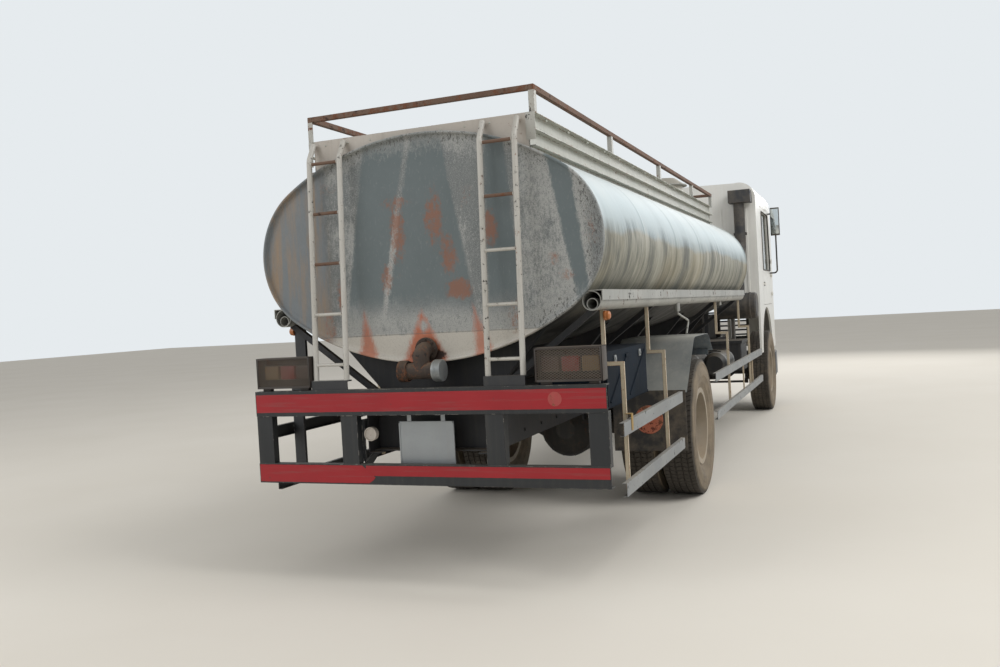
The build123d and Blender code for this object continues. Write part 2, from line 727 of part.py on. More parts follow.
# Rear mudguards: bent sheet over each pair of wheels, on flat stays from the subframe
guard_inner_x = inner_tyre_x - tyre_width / 2
guard_crown_z = 1410
guard_line = [(-640, 1240), (-400, guard_crown_z), (330, guard_crown_z), (800, 980)]
guard_metal = 4
stay_reach = 620
stay_sheet = 8
front_slope = (guard_line[1][1] - guard_line[0][1]) / (guard_line[1][0] - guard_line[0][0])
rear_slope = (guard_line[3][1] - guard_line[2][1]) / (guard_line[3][0] - guard_line[2][0])
front_stay_top = guard_line[0][1] + front_slope * (-stay_reach - guard_line[0][0]) - 2
rear_stay_top = guard_line[3][1] + rear_slope * (stay_reach + stay_sheet - guard_line[3][0]) - 2
with BuildPart() as rear_mudguards:
    with BuildSketch(Plane.YZ.offset(guard_inner_x)):
        with BuildLine():
            FilletPolyline(*[(rear_axle_y + y, z) for y, z in guard_line], radius=160)
        trace(line_width=guard_metal)
    extrude(amount=wheel_face_x - guard_inner_x)
    for y, top in ((-stay_reach, front_stay_top), (stay_reach, rear_stay_top)):
        block(
            frame_half_width, wheel_face_x - 40, rear_axle_y + y, rear_axle_y + y + stay_sheet,
            min(top - 40, subframe_top - 40), top,
        )
    mirror(about=Plane.YZ)
rear_mudguards.part.label = "rear_mudguards"
export_step(rear_mudguards.part, "parts/rear_mudguards.step")

flap_bottom = 500
flap_sheet = 8
with BuildPart() as mud_flaps:
    end_lean = atan2(guard_line[2][1] - guard_line[3][1], guard_line[3][0] - guard_line[2][0])
    flap_y = rear_axle_y + guard_line[3][0] + guard_metal / 2 * sin(end_lean) + seat_gap
    block(
        guard_inner_x + 20, wheel_face_x - 10, flap_y, flap_y + flap_sheet,
        flap_bottom, guard_line[3][1] + 20,
    )
    mirror(about=Plane.YZ)
mud_flaps.part.label = "mud_flaps"
export_step(mud_flaps.part, "parts/mud_flaps.step")

# Tool locker: an open-sided box outboard of the right rail, closed by a drop-down door
locker_outer_x = 1072
locker_inner_x = 640
locker_front_y = rear_y - 1640
locker_rear_y = rear_y - 480
locker_bottom = 1060
locker_top = 1425
locker_wall = 12
locker_door_sheet = 20
locker_pin_radius = 6
locker_lug = 22
locker_hinge_x = -(locker_outer_x + seat_gap + locker_door_sheet / 2)
locker_hinge_z = locker_bottom + locker_door_sheet / 2
with BuildPart() as tool_locker:
    block(-locker_outer_x, -locker_inner_x, locker_front_y, locker_rear_y, locker_bottom, locker_top)
    block(
        -locker_outer_x, -locker_inner_x - locker_wall,
        locker_front_y + locker_wall, locker_rear_y - locker_wall,
        locker_bottom + locker_wall, locker_top - locker_wall, mode=Mode.SUBTRACT,
    )
    for y in (locker_front_y + 200, locker_rear_y - 240):
        block(-locker_inner_x, -frame_half_width, y, y + 40, locker_bottom - 40 + 60, locker_bottom + 80)
    for y in (locker_front_y, locker_rear_y - locker_lug):
        block(
            locker_hinge_x - 10, -locker_outer_x, y, y + locker_lug,
            locker_hinge_z - 10, locker_hinge_z + 10,
        )
    locker_middle_y = (locker_front_y + locker_rear_y) / 2
    with Locations(Location((locker_hinge_x, locker_middle_y, locker_hinge_z), (90, 0, 0))):
        Cylinder(locker_pin_radius, locker_rear_y - locker_front_y - 2)
tool_locker.part.label = "tool_locker"
export_step(tool_locker.part, "parts/tool_locker.step")

with BuildPart() as locker_door:
    half = locker_door_sheet / 2
    door_run = (locker_front_y + locker_lug + 3, locker_rear_y - locker_lug - 3)
    middle_y, run = (door_run[0] + door_run[1]) / 2, door_run[1] - door_run[0]
    block(locker_hinge_x - half, locker_hinge_x + half, *door_run, locker_hinge_z, locker_top)
    with Locations(Location((locker_hinge_x, middle_y, locker_hinge_z), (90, 0, 0))):
        Cylinder(half, run)
        Cylinder(locker_pin_radius + seat_gap, run, mode=Mode.SUBTRACT)
    block(
        locker_hinge_x - half - 10, locker_hinge_x - half, middle_y - 70, middle_y + 70,
        locker_top - 60, locker_top - 40,
    )
locker_door.part.label = "locker_door"
export_step(locker_door.part, "parts/locker_door.step")

# Fuel tank on the left rail and battery box on the right, with the air tanks between the rails
fuel_front_y = tank_front_y + 530
fuel_rear_y = fuel_front_y + 1100
fuel_size = 560
fuel_centre_x = 800
fuel_centre_z = 900
fuel_corner = 110
cradle_bar = 50
with BuildPart() as fuel_tank:
    with BuildSketch(Plane.XZ.offset(-fuel_rear_y)):
        with Locations((fuel_centre_x, fuel_centre_z)):
            RectangleRounded(fuel_size, fuel_size, fuel_corner)
    extrude(amount=fuel_rear_y - fuel_front_y)
    with Locations((fuel_centre_x + 120, fuel_rear_y - 160, fuel_centre_z + fuel_size / 2 + 14)):
        Cylinder(50, 30)
    for y in (fuel_front_y + 180, fuel_rear_y - 230):
        low = fuel_centre_z - fuel_size / 2 - 20
        bar_end = y + cradle_bar
        block(frame_half_width, fuel_centre_x - fuel_size / 2, y, bar_end, low, frame_top - 20)
        block(frame_half_width, fuel_centre_x + fuel_size / 2 - 60, y, bar_end, low, low + 20)
fuel_tank.part.label = "fuel_tank"
export_step(fuel_tank.part, "parts/fuel_tank.step")

battery_outer_x, battery_inner_x = 1060, 520
battery_bottom, battery_lid_z, battery_lid_height = 760, 1120, 40
battery_lip = 15
with BuildPart() as battery_box:
    battery_y = (front_axle_y + 1550, front_axle_y + 2150)
    block(-battery_outer_x, -battery_inner_x, *battery_y, battery_bottom, battery_lid_z)
    fillet(battery_box.edges().filter_by(Axis.Z), 20)
    block(
        -battery_outer_x - battery_lip, -battery_inner_x + battery_lip,
        battery_y[0] - 12, battery_y[1] + 12, battery_lid_z, battery_lid_z + battery_lid_height,
    )
    block(-battery_inner_x, -frame_half_width, battery_y[0] + 100, battery_y[1] - 100, 900, 1060)
battery_box.part.label = "battery_box"
export_step(battery_box.part, "parts/battery_box.step")

air_tank_radius = 135
air_tank_y = tank_front_y + 980
air_tank_z = 960
air_tank_places = (-620, -940)
air_tank_length = 760
hanger_flat = 40
with BuildPart() as air_tanks:
    for x in air_tank_places:
        with Locations(Location((x, air_tank_y, air_tank_z), (90, 0, 0))):
            Cylinder(air_tank_radius, air_tank_length)
    chamfer(air_tanks.edges().filter_by(GeomType.CIRCLE), 40)
    air_tank_top = air_tank_z + air_tank_radius
    for y in (air_tank_y - 220, air_tank_y + 180):
        flat_end = y + hanger_flat
        block(air_tank_places[1] - 60, -frame_half_width, y, flat_end, air_tank_top, air_tank_top + 10)
        for x in air_tank_places:
            block(x - 30, x + 30, y, flat_end, air_tank_top - 12, air_tank_top)
air_tanks.part.label = "air_tanks"
export_step(air_tanks.part, "parts/air_tanks.step")

# Behind the cab: air cleaner, its intake pipe and the snorkel at the right rear corner
cleaner_radius = 180
cleaner_z = 1610
cleaner_y = cab_rear_y + 560
with BuildPart() as air_cleaner:
    with Locations(Location((-950, cleaner_y, cleaner_z), (0, 90, 0))):
        Cylinder(cleaner_radius, 540)
    chamfer(air_cleaner.edges().filter_by(GeomType.CIRCLE), 20)
    with Locations(Location((-1130, cleaner_y, cleaner_z), (0, 90, 0))):
        Cylinder(cleaner_radius + 8, 24)
    block(-900, -860, cleaner_y - 60, cleaner_y + 60, frame_top + 60, cleaner_z - cleaner_radius + 20)
    block(-900, -frame_half_width + 60, cleaner_y - 60, cleaner_y + 60, frame_top, frame_top + 60)
air_cleaner.part.label = "air_cleaner"
export_step(air_cleaner.part, "parts/air_cleaner.step")

snorkel_radius = 75
snorkel_x = -985
snorkel_y = cab_rear_y + 150
snorkel_head = {"low": 3080, "high": 3260, "inner": -850, "outer": -1160}
with BuildPart() as snorkel:
    with BuildLine() as snorkel_line:
        FilletPolyline(
            (snorkel_x, cleaner_y, cleaner_z + cleaner_radius + seat_gap), (snorkel_x, cleaner_y, 2150),
            (snorkel_x, snorkel_y, 2450), (snorkel_x, snorkel_y, 3100), radius=150,
        )
    with BuildSketch(Plane(snorkel_line.line @ 0, z_dir=snorkel_line.line % 0)):
        Circle(snorkel_radius)
    sweep()
    block(
        snorkel_head["outer"], snorkel_head["inner"], snorkel_y - 110, snorkel_y + 110,
        snorkel_head["low"], snorkel_head["high"],
    )
    block(snorkel_x - 90, snorkel_x + 90, cab_rear_y + 60, snorkel_y, 2620, 2660)
snorkel.part.label = "snorkel"
export_step(snorkel.part, "parts/snorkel.step")

# Engine as one block, gearbox behind it, and the propeller shaft to the rear axle
engine_rear_y = front_axle_y + 560
gearbox_rear_y = engine_rear_y + 760
shaft_z = 760
with BuildPart() as engine_block:
    block(-300, 300, front_y + 560, engine_rear_y, 720, 1480)
    for side in (-1, 1):
        block(side * 300, side * (frame_half_width - rail_web), front_y + 900, front_y + 1000, 1000, 1060)
    with BuildSketch(Plane.XZ.offset(-engine_rear_y)):
        with Locations((0, shaft_z + 60)):
            Circle(250)
    with BuildSketch(Plane.XZ.offset(-engine_rear_y - 330)):
        with Locations((0, shaft_z + 20)):
            Circle(170)
    loft()
    with Locations(Location((0, (engine_rear_y + 330 + gearbox_rear_y) / 2, shaft_z + 20), (90, 0, 0))):
        Cylinder(170, gearbox_rear_y - engine_rear_y - 330)
    rail_lip = frame_half_width - rail_flange
    block(-rail_lip, rail_lip, front_y + 400, front_y + 480, 700, 1460)
engine_block.part.label = "engine_block"
export_step(engine_block.part, "parts/engine_block.step")

pinion_y = rear_axle_y - 420
hanger_y = front_axle_y + 2900
with BuildPart() as propeller_shafts:
    for a, b in (((gearbox_rear_y + 20, shaft_z), (hanger_y, 770)), ((hanger_y, 770), (pinion_y - 20, 600))):
        run = hypot(b[0] - a[0], b[1] - a[1])
        lean = degrees(atan2(b[1] - a[1], b[0] - a[0]))
        with Locations(Location((0, (a[0] + b[0]) / 2, (a[1] + b[1]) / 2), (lean - 90, 0, 0))):
            Cylinder(45, run)
    for y, z in ((gearbox_rear_y + 40, shaft_z), (hanger_y, 770), (pinion_y - 40, 602)):
        with Locations(Location((0, y, z), (90, 0, 0))):
            Cylinder(68, 80)
propeller_shafts.part.label = "propeller_shafts"
export_step(propeller_shafts.part, "parts/propeller_shafts.step")

spring_x = (352, 428)

# Rear axle: banjo housing swelled about the final drive, with spindles for the hubs
tube_radius = 66
spindle_end_x = 1120
diff_radius = 262
with BuildPart() as rear_axle:
    with BuildSketch(Plane.XZ):
        with BuildLine():
            Polyline(
                (0, 0), (0, 150), (170, 150), (spring_x[0] - 22, tube_radius), (600, tube_radius),
                (600, spindle_radius + 10), (spindle_end_x, spindle_radius + 10), (spindle_end_x, 0),
                close=True,
            )
        make_face()
    revolve(axis=Axis.X)
    mirror(about=Plane.YZ)
    with Locations(Location((0, 0, 0), (90, 0, 0))):
        Cylinder(diff_radius, 250)
    with Locations(Location((0, 170, 0), (-90, 0, 0))):
        Cone(diff_radius - 20, 90, 90)
    with Locations(Location((0, -270, 0), (90, 0, 0))):
        Cone(150, 80, 300)
rear_axle_solid = rear_axle.part.moved(Location((0, rear_axle_y, tyre_radius)))
with BuildPart() as rear_axle_placed:
    add(rear_axle_solid)
rear_axle_placed.part.label = "rear_axle"
export_step(rear_axle_placed.part, "parts/rear_axle.step")


def leaf_spring(y_middle, z_seat, half_run, leaves, leaf, rise, x0, x1):
    """A stack of curved leaves, longest on top, ends turned up by rise over half_run."""
    with BuildPart() as spring:
        for i in range(leaves):
            reach = half_run * (1 - 0.82 * i / leaves)
            lift = rise * (reach / half_run) ** 2
            z = z_seat + (leaves - i) * leaf
            with BuildSketch(Plane.YZ.offset(x0)):
                with BuildLine():
                    ThreePointArc((y_middle - reach, z + lift), (y_middle, z), (y_middle + reach, z + lift))
                    Line((y_middle + reach, z + lift), (y_middle + reach, z + lift - leaf - 1))
                    ThreePointArc(
                        (y_middle + reach, z + lift - leaf - 1), (y_middle, z - leaf - 1),
                        (y_middle - reach, z + lift - leaf - 1),
                    )
                    Line((y_middle - reach, z + lift - leaf - 1), (y_middle - reach, z + lift))
                make_face()
            extrude(amount=x1 - x0)
        mirror(about=Plane.YZ)
    return spring.part


rear_springs = leaf_spring(rear_axle_y, tyre_radius + tube_radius + 1 + seat_gap, 760, 7, 14, 60, *spring_x)

# Front axle: dropped I-beam with kingpins, springs on top
beam_top, beam_low = 572, 470
beam_half_depth = 50
beam_flange = 18
boss_half = axle_boss_height / 2
beam_outline = [
    (-kingpin_x, 640), (-660, 640), (-540, beam_top), (540, beam_top), (660, 640), (kingpin_x, 640),
    (kingpin_x, 560), (680, 560), (560, beam_low), (-560, beam_low), (-680, 560), (-kingpin_x, 560),
]
with BuildPart() as front_axle:
    cross_profile(beam_outline, front_axle_y - beam_half_depth, front_axle_y + beam_half_depth)
    for y, way in ((front_axle_y - beam_half_depth, -1), (front_axle_y + beam_half_depth, 1)):
        with BuildSketch(Plane.XZ.offset(-y)):
            with BuildLine():
                Polyline(*beam_outline, close=True)
            make_face()
            offset(amount=-beam_flange, mode=Mode.REPLACE)
        extrude(amount=way * 34, mode=Mode.SUBTRACT)
    for side in (-1, 1):
        with Locations((side * kingpin_x, front_axle_y, tyre_radius)):
            Cylinder(kingpin_boss_radius, axle_boss_height)
            Cylinder(kingpin_radius, axle_boss_height + 2 * knuckle_lug)
front_axle.part.label = "front_axle"
export_step(front_axle.part, "parts/front_axle.step")

front_springs = leaf_spring(front_axle_y, beam_top + 1 + seat_gap, 720, 5, 13, 110, *spring_x)
with BuildPart() as leaf_springs:
    add(front_springs)
    add(rear_springs)
leaf_springs.part.label = "leaf_springs"
export_step(leaf_springs.part, "parts/leaf_springs.step")

# Frame brackets: spring hangers, cab mounts, and a nose that carries tilt pins, bumper and tow eye
with BuildPart() as frame_brackets:
    rail_bottom = frame_top - rail_height
    for y, end_z in (
        (front_axle_y, beam_top - 2 + 5 * 13 + 110),
        (rear_axle_y, tyre_radius + tube_radius - 4 + 7 * 14 + 60),
    ):
        reach = 720 if y == front_axle_y else 760
        for way in (-1, 1):
            end = y + way * (reach - 45)
            block(spring_x[1] + seat_gap, spring_x[1] + 12, end - 60, end + 60, end_z - 60, rail_bottom)
            block(spring_x[0] - 12, spring_x[0] - seat_gap, end - 60, end + 60, end_z - 60, rail_bottom)
            block(spring_x[0] - 12, spring_x[1] + 12, end - 60, end + 60, rail_bottom - 12, rail_bottom)
    block(
        frame_half_width - 60, frame_half_width, cab_rear_y - 200, cab_rear_y - 120,
        frame_top, cab_floor_z - seat_gap,
    )
    block(
        frame_half_width, tilt_leg_x - tilt_leg_width / 2 - 5, frame_front_y, frame_front_y + 240,
        tilt_z - 80, tilt_z + 80,
    )
    pin_run = tilt_leg_x + tilt_leg_width / 2 - frame_half_width
    with Locations(Location((frame_half_width + pin_run / 2, tilt_y, tilt_z), (0, 90, 0))):
        Cylinder(tilt_pin_radius, pin_run)
    nose_x = (frame_half_width - 90, frame_half_width)
    block(*nose_x, front_y + 40, frame_front_y, tow_bar_low, front_bumper_top - 12)
    block(*nose_x, frame_front_y, frame_front_y + 60, tow_bar_low, frame_top - rail_height)
    block(0, nose_x[0], front_y + 90, frame_front_y, tow_bar_low, tow_bar_low + 2 * tow_plate + tow_gap)
    for low in (tow_bar_low, tow_bar_low + tow_plate + tow_gap):
        block(0, tow_half - 15, front_y + 8, front_y + 90, low, low + tow_plate)
    with Locations((0, tow_y, tow_bar_low + tow_plate + tow_gap / 2)):
        Cylinder(tow_bore_radius, 3 * tow_plate + tow_gap, mode=Mode.SUBTRACT)
    mirror(about=Plane.YZ)
frame_brackets.part.label = "frame_brackets"
export_step(frame_brackets.part, "parts/frame_brackets.step")


def knuckle(hand):
    """A steering knuckle: forked lugs on the kingpin, a spindle outwards and an arm rearwards."""
    lug_low = tyre_radius - boss_half - knuckle_lug - seat_gap
    with BuildPart() as piece:
        for z in (lug_low + knuckle_lug / 2, tyre_radius + boss_half + seat_gap + knuckle_lug / 2):
            with Locations((kingpin_x, front_axle_y, z)):
                Cylinder(kingpin_boss_radius, knuckle_lug)
            block(
                kingpin_x, kingpin_x + 75,
                front_axle_y - kingpin_boss_radius, front_axle_y + kingpin_boss_radius,
                z - knuckle_lug / 2, z + knuckle_lug / 2,
            )
        block(
            kingpin_x + 50, kingpin_x + 75, front_axle_y - 70, front_axle_y + 70,
            lug_low, tyre_radius + boss_half + seat_gap + knuckle_lug,
        )
        spindle_middle_x = (kingpin_x + 60 + spindle_end_x) / 2
        with Locations(Location((spindle_middle_x, front_axle_y, tyre_radius), (0, 90, 0))):
            Cylinder(spindle_radius + 10, spindle_end_x - kingpin_x - 60)
        block(
            kingpin_x - 24, kingpin_x + 24, front_axle_y, front_axle_y + steer_arm + 28,
            lug_low, lug_low + 30,
        )
        with Locations((kingpin_x, front_axle_y + steer_arm, lug_low + 15)):
            Cylinder(tie_pin_radius + seat_gap, 40, mode=Mode.SUBTRACT)
        with Locations((kingpin_x, front_axle_y, tyre_radius)):
            Cylinder(kingpin_radius + seat_gap, 2 * boss_half + 4 * knuckle_lug, mode=Mode.SUBTRACT)
        mirror(about=Plane.YZ, mode=Mode.REPLACE if hand < 0 else Mode.PRIVATE)
    return piece.part


knuckle_left = knuckle(1)
knuckle_left.label = "knuckle_left"
export_step(knuckle_left, "parts/knuckle_left.step")
knuckle_right = knuckle(-1)
knuckle_right.label = "knuckle_right"
export_step(knuckle_right, "parts/knuckle_right.step")

tie_z = tyre_radius - boss_half - knuckle_lug - seat_gap
with BuildPart() as tie_rod:
    with Locations(Location((0, front_axle_y + steer_arm, tie_z - 24), (0, 90, 0))):
        Cylinder(tie_rod_radius, 2 * kingpin_x - 30)
    for side in (-1, 1):
        with Locations((side * kingpin_x, front_axle_y + steer_arm, tie_z - 23 - seat_gap)):
            Cylinder(tie_eye_radius, 46)
        with Locations((side * kingpin_x, front_axle_y + steer_arm, tie_z - 6)):
            Cylinder(tie_pin_radius, 72)
tie_rod.part.label = "tie_rod"
export_step(tie_rod.part, "parts/tie_rod.step")

# Tyres and wheels: turned on the axle line; the rear ones are twins on one hub
hand_hole_count = 8
hand_hole_ring = 250
hand_hole_radius = 27
half_width = tyre_width / 2
half_rim = bead_width / 2
tread_half = half_width - 17
bead_inset = 14
sidewall_radius = 452


def tyre_ring(x):
    """One tyre turned about the X axis with its middle at x; its tread and lettering are left off."""
    with BuildSketch(Plane.XY) as section:
        with BuildLine():
            Polyline(
                (x - half_rim + bead_inset, bead_radius + seat_gap),
                (x + half_rim - bead_inset, bead_radius + seat_gap),
                (x + half_rim - bead_inset, rim_flange_radius + 5),
                (x + half_width, sidewall_radius), (x + tread_half, tyre_radius),
                (x - tread_half, tyre_radius), (x - half_width, sidewall_radius),
                (x - half_rim + bead_inset, rim_flange_radius + 5), close=True,
            )
        make_face()
    revolve(section.sketch, axis=Axis.X)


def rim_ring(x):
    """One flat-base rim turned about the X axis with its middle at x."""
    base = bead_radius - rim_thickness
    with BuildSketch(Plane.XY) as section:
        with BuildLine():
            Polyline(
                (x - half_rim, base), (x + half_rim, base), (x + half_rim, rim_flange_radius),
                (x + half_rim - rim_thickness, rim_flange_radius),
                (x + half_rim - rim_thickness, bead_radius),
                (x - half_rim + rim_thickness, bead_radius),
                (x - half_rim + rim_thickness, rim_flange_radius),
                (x - half_rim, rim_flange_radius), close=True,
            )
        make_face()
    revolve(section.sketch, axis=Axis.X)


def hub_turned(disc_x, disc_way, rim_x):
    """Dished disc from the rim to the hub flange at disc_x, with hub and brake drum, about the X axis."""
    base = bead_radius - rim_thickness
    foot = rim_x + disc_way * (half_rim - 60)
    sheet = 14
    with BuildSketch(Plane.XY) as section:
        with BuildLine():
            Polyline(
                (disc_x, hub_radius - 10), (disc_x, hub_radius + 60),
                (foot, base + 2), (foot + sheet, base + 2),
                (disc_x + sheet, hub_radius + 66), (disc_x + sheet, hub_radius - 10), close=True,
            )
        make_face()
    revolve(section.sketch, axis=Axis.X)
    middle = (disc_x + foot) / 2
    for i in range(hand_hole_count):
        turn = radians(360 * i / hand_hole_count)
        spot = (middle, hand_hole_ring * cos(turn), hand_hole_ring * sin(turn))
        with Locations(Location(spot, (0, 90, 0))):
            Cylinder(hand_hole_radius, 180, mode=Mode.SUBTRACT)


front_hub = [
    (960, 55.3), (1126, 55.3), (1126, 0), (1150, 0), (1150, 70), (1110, 92), (1110, 165), (1080, 165),
    (1080, 205), (960, 205), (960, 190), (1060, 190), (1060, 120), (960, 110),
]
rear_hub = [
    (620, 55.3), (1126, 55.3), (1126, 0), (1146, 0), (1146, 80), (1130, 100), (935, 120), (935, 190),
    (915, 190), (915, 215), (740, 215), (740, 200), (900, 200), (900, 120), (620, 105),
]


def turned_about_axle(points):
    with BuildSketch(Plane.XY) as section:
        with BuildLine():
            Polyline(*points, close=True)
        make_face()
    revolve(section.sketch, axis=Axis.X)


def placed(piece, hand, y):
    turned = piece.mirror(Plane.YZ) if hand < 0 else piece
    return turned.moved(Location((0, y, tyre_radius)))


with BuildPart() as front_tyre:
    tyre_ring(outer_tyre_x)
with BuildPart() as rear_tyres:
    tyre_ring(outer_tyre_x)
    tyre_ring(inner_tyre_x)
with BuildPart() as front_wheel:
    rim_ring(outer_tyre_x)
    hub_turned(1096, 1, outer_tyre_x - 100)
    turned_about_axle(front_hub)
with BuildPart() as rear_wheels:
    rim_ring(outer_tyre_x)
    rim_ring(inner_tyre_x)
    hub_turned(926, -1, outer_tyre_x)
    hub_turned(912, 1, inner_tyre_x)
    turned_about_axle(rear_hub)
wheel_sets = [
    (front_tyre.part, "tyre_front", front_axle_y), (front_wheel.part, "wheel_front", front_axle_y),
    (rear_tyres.part, "tyres_rear", rear_axle_y), (rear_wheels.part, "wheels_rear", rear_axle_y),
]
for side, hand in (("left", 1), ("right", -1)):
    for piece, name, axle_y in wheel_sets:
        wheel_piece = placed(piece, hand, axle_y)
        wheel_piece.label = f"{name}_{side}"
        export_step(wheel_piece, f"parts/{name}_{side}.step")


# Cab: one form used for the outside and, drawn in, for the inside
def cab_form(inset, low):
    """The cab's closed form from the height low up, all its faces moved in by inset."""
    front, rear = cab_front_y + inset, cab_rear_y - inset
    half, roof = cab_half_width - inset, cab_roof_z - inset
    with BuildPart() as form:
        with BuildSketch(Plane.XZ.offset(-rear)) as section:
            with BuildLine():
                Polyline((half, roof - roof_round), (half, low), (-half, low), (-half, roof - roof_round))
                ThreePointArc(
                    (-half, roof - roof_round),
                    (-half + 0.34 * roof_round, roof - 0.27 * roof_round),
                    (-half + 1.2 * roof_round, roof - 12),
                )
                ThreePointArc(
                    (-half + 1.2 * roof_round, roof - 12), (0, roof), (half - 1.2 * roof_round, roof - 12),
                )
                ThreePointArc(
                    (half - 1.2 * roof_round, roof - 12),
                    (half - 0.34 * roof_round, roof - 0.27 * roof_round),
                    (half, roof - roof_round),
                )
            make_face()
        extrude(amount=rear - front)
        lean_top = front + screen_lean
        with BuildSketch(Plane.YZ.offset(-half)):
            with BuildLine():
                Polyline(
                    (lean_top, cab_screen_top), (front, cab_waist_z), (front, low), (rear, low),
                    (rear, roof),
                )
                Line((rear, roof), (lean_top + 330, roof))
                ThreePointArc(
                    (lean_top + 330, roof), (lean_top + 95, roof - 90), (lean_top, cab_screen_top),
                )
            make_face()
        extrude(amount=2 * half, mode=Mode.INTERSECT)
        with BuildSketch(Plane.XY.offset(low)) as plan:
            with Locations((0, (front + rear) / 2)):
                Rectangle(2 * half, rear - front)
            fillet(plan.vertices().group_by(Axis.Y)[0], corner_round - inset / 2)
        extrude(amount=roof - low, mode=Mode.INTERSECT)
    return form.part


def side_opening(inset):
    """The door's outline in a side view, drawn in by inset."""
    y0, y1 = door_front_y + inset, door_rear_y - inset
    z0, z1 = door_bottom_z + inset, door_top_z - inset
    return [(y0, z0), (y1, z0), (y1, z1), (y0 + door_lean, z1), (y0, cab_waist_z + 200)]


door_top_z = 3080
door_lean = 90
arch_z = arch_top_z - arch_radius
cab_outside = cab_form(0, cab_skirt_bottom)
cab_inside = cab_form(cab_wall, cab_floor_z + cab_wall)
screen_half = cab_half_width - pillar_width
hinge_x = cab_half_width + 14.3
hinge_y = door_front_y + door_gap
hinge_radius = 14
hinge_pin_radius = 8
hinge_height = 34
hinge_places = (cab_floor_z + 130, cab_waist_z - 60, cab_waist_z + 160)

with BuildPart() as cab_shell:
    add(cab_outside)
    add(cab_inside, mode=Mode.SUBTRACT)
    skirt = 30
    block(
        -cab_half_width + skirt, cab_half_width - skirt, cab_front_y + cab_wall, cab_rear_y + 1,
        cab_skirt_bottom - 1, cab_floor_z, mode=Mode.SUBTRACT,
    )
    # gap in the front panel's foot, so that it clears the frame's nose as the cab tilts
    nose_gap_half = tilt_leg_x - tilt_leg_width / 2
    block(
        -nose_gap_half, nose_gap_half, cab_front_y - 1, cab_front_y + cab_wall + 1,
        cab_skirt_bottom - 1, tilt_z + 40, mode=Mode.SUBTRACT,
    )
    # windscreen and grille openings in the front
    with BuildSketch(Plane.XZ.offset(-cab_front_y - 420)):
        with Locations((0, (cab_waist_z + 40 + cab_screen_top - 60) / 2)):
            RectangleRounded(2 * screen_half, cab_screen_top - 60 - cab_waist_z - 40, 70)
    extrude(amount=500, mode=Mode.SUBTRACT)
    with BuildSketch(Plane.XZ.offset(-cab_front_y - cab_wall - 1)):
        with Locations((0, (grille_bottom + grille_top) / 2)):
            RectangleRounded(2 * grille_half_width, grille_top - grille_bottom, 40)
    extrude(amount=cab_wall + 10, mode=Mode.SUBTRACT)
    # door openings and wheel arches in the sides
    side_profile(side_opening(0), cab_half_width - cab_wall, cab_half_width + 20, mode=Mode.SUBTRACT)
    side_profile(side_opening(0), -cab_half_width - 20, -cab_half_width + cab_wall, mode=Mode.SUBTRACT)
    with BuildSketch(Plane.YZ.offset(-cab_half_width - 10)):
        with Locations((front_axle_y, arch_z)):
            Circle(arch_radius)
        with Locations((front_axle_y, arch_z - 500)):
            Rectangle(2 * arch_radius, 1000)
    extrude(amount=2 * cab_half_width + 20, mode=Mode.SUBTRACT)
    # ribs pressed into the rear wall
    for i in range(rib_count):
        x = (i - (rib_count - 1) / 2) * 2 * (cab_half_width - 140) / (rib_count - 1)
        block(
            x - rib_width / 2, x + rib_width / 2, cab_rear_y, cab_rear_y + rib_depth,
            cab_floor_z + 40, cab_roof_z - 380,
        )
    # legs down to the tilt pins, and hinge knuckles for the doors
    for side in (-1, 1):
        leg = (side * (tilt_leg_x - tilt_leg_width / 2), side * (tilt_leg_x + tilt_leg_width / 2))
        block(*leg, tilt_y - 45, tilt_y + 45, tilt_z - 45, cab_floor_z + 10)
        with Locations(Location((side * tilt_leg_x, tilt_y, tilt_z), (0, 90, 0))):
            Cylinder(tilt_pin_radius + seat_gap, tilt_leg_width + 20, mode=Mode.SUBTRACT)
        for z in hinge_places:
            block(side * cab_half_width, side * hinge_x, hinge_y - 60, hinge_y - 4, z, z + hinge_height)
            with Locations((side * hinge_x, hinge_y, z + hinge_height / 2)):
                Cylinder(hinge_radius, hinge_height)
                Cylinder(hinge_pin_radius + seat_gap, hinge_height + 2, mode=Mode.SUBTRACT)
cab_shell.part.label = "cab_shell"
export_step(cab_shell.part, "parts/cab_shell.step")


def door_with_window(hand):
    """A door as thick as the cab's wall, with its window cut, handle and hinge pins."""
    window = [
        (door_front_y + window_margin, window_sill_z), (door_rear_y - window_margin, window_sill_z),
        (door_rear_y - window_margin, door_top_z - window_margin + 20),
        (door_front_y + door_lean + window_margin, door_top_z - window_margin + 20),
        (door_front_y + window_margin, cab_waist_z + 260),
    ]
    with BuildPart() as door:
        add(cab_outside)
        side_profile(
            side_opening(door_gap), cab_half_width - cab_wall, cab_half_width + 20,
            mode=Mode.INTERSECT,
        )
        add(cab_inside, mode=Mode.SUBTRACT)
        side_profile(window, 500, cab_half_width + 20, mode=Mode.SUBTRACT)
        block(
            cab_half_width, cab_half_width + 26, door_rear_y - 260, door_rear_y - 90,
            cab_waist_z - 190, cab_waist_z - 160,
        )
        for z in hinge_places:
            low, high = z + hinge_height + seat_gap, z + 2 * hinge_height
            block(cab_half_width, hinge_x, hinge_y, hinge_y + 60, low, high)
            with Locations((hinge_x, hinge_y, (low + high) / 2)):
                Cylinder(hinge_radius, high - low)
            with Locations((hinge_x, hinge_y, (z + high) / 2)):
                Cylinder(hinge_pin_radius, high - z)
        mirror(about=Plane.YZ, mode=Mode.REPLACE if hand < 0 else Mode.PRIVATE)
    return door.part, window


door_left, window = door_with_window(1)
door_left.label = "door_left"
export_step(door_left, "parts/door_left.step")
door_right, window = door_with_window(-1)
door_right.label = "door_right"
export_step(door_right, "parts/door_right.step")

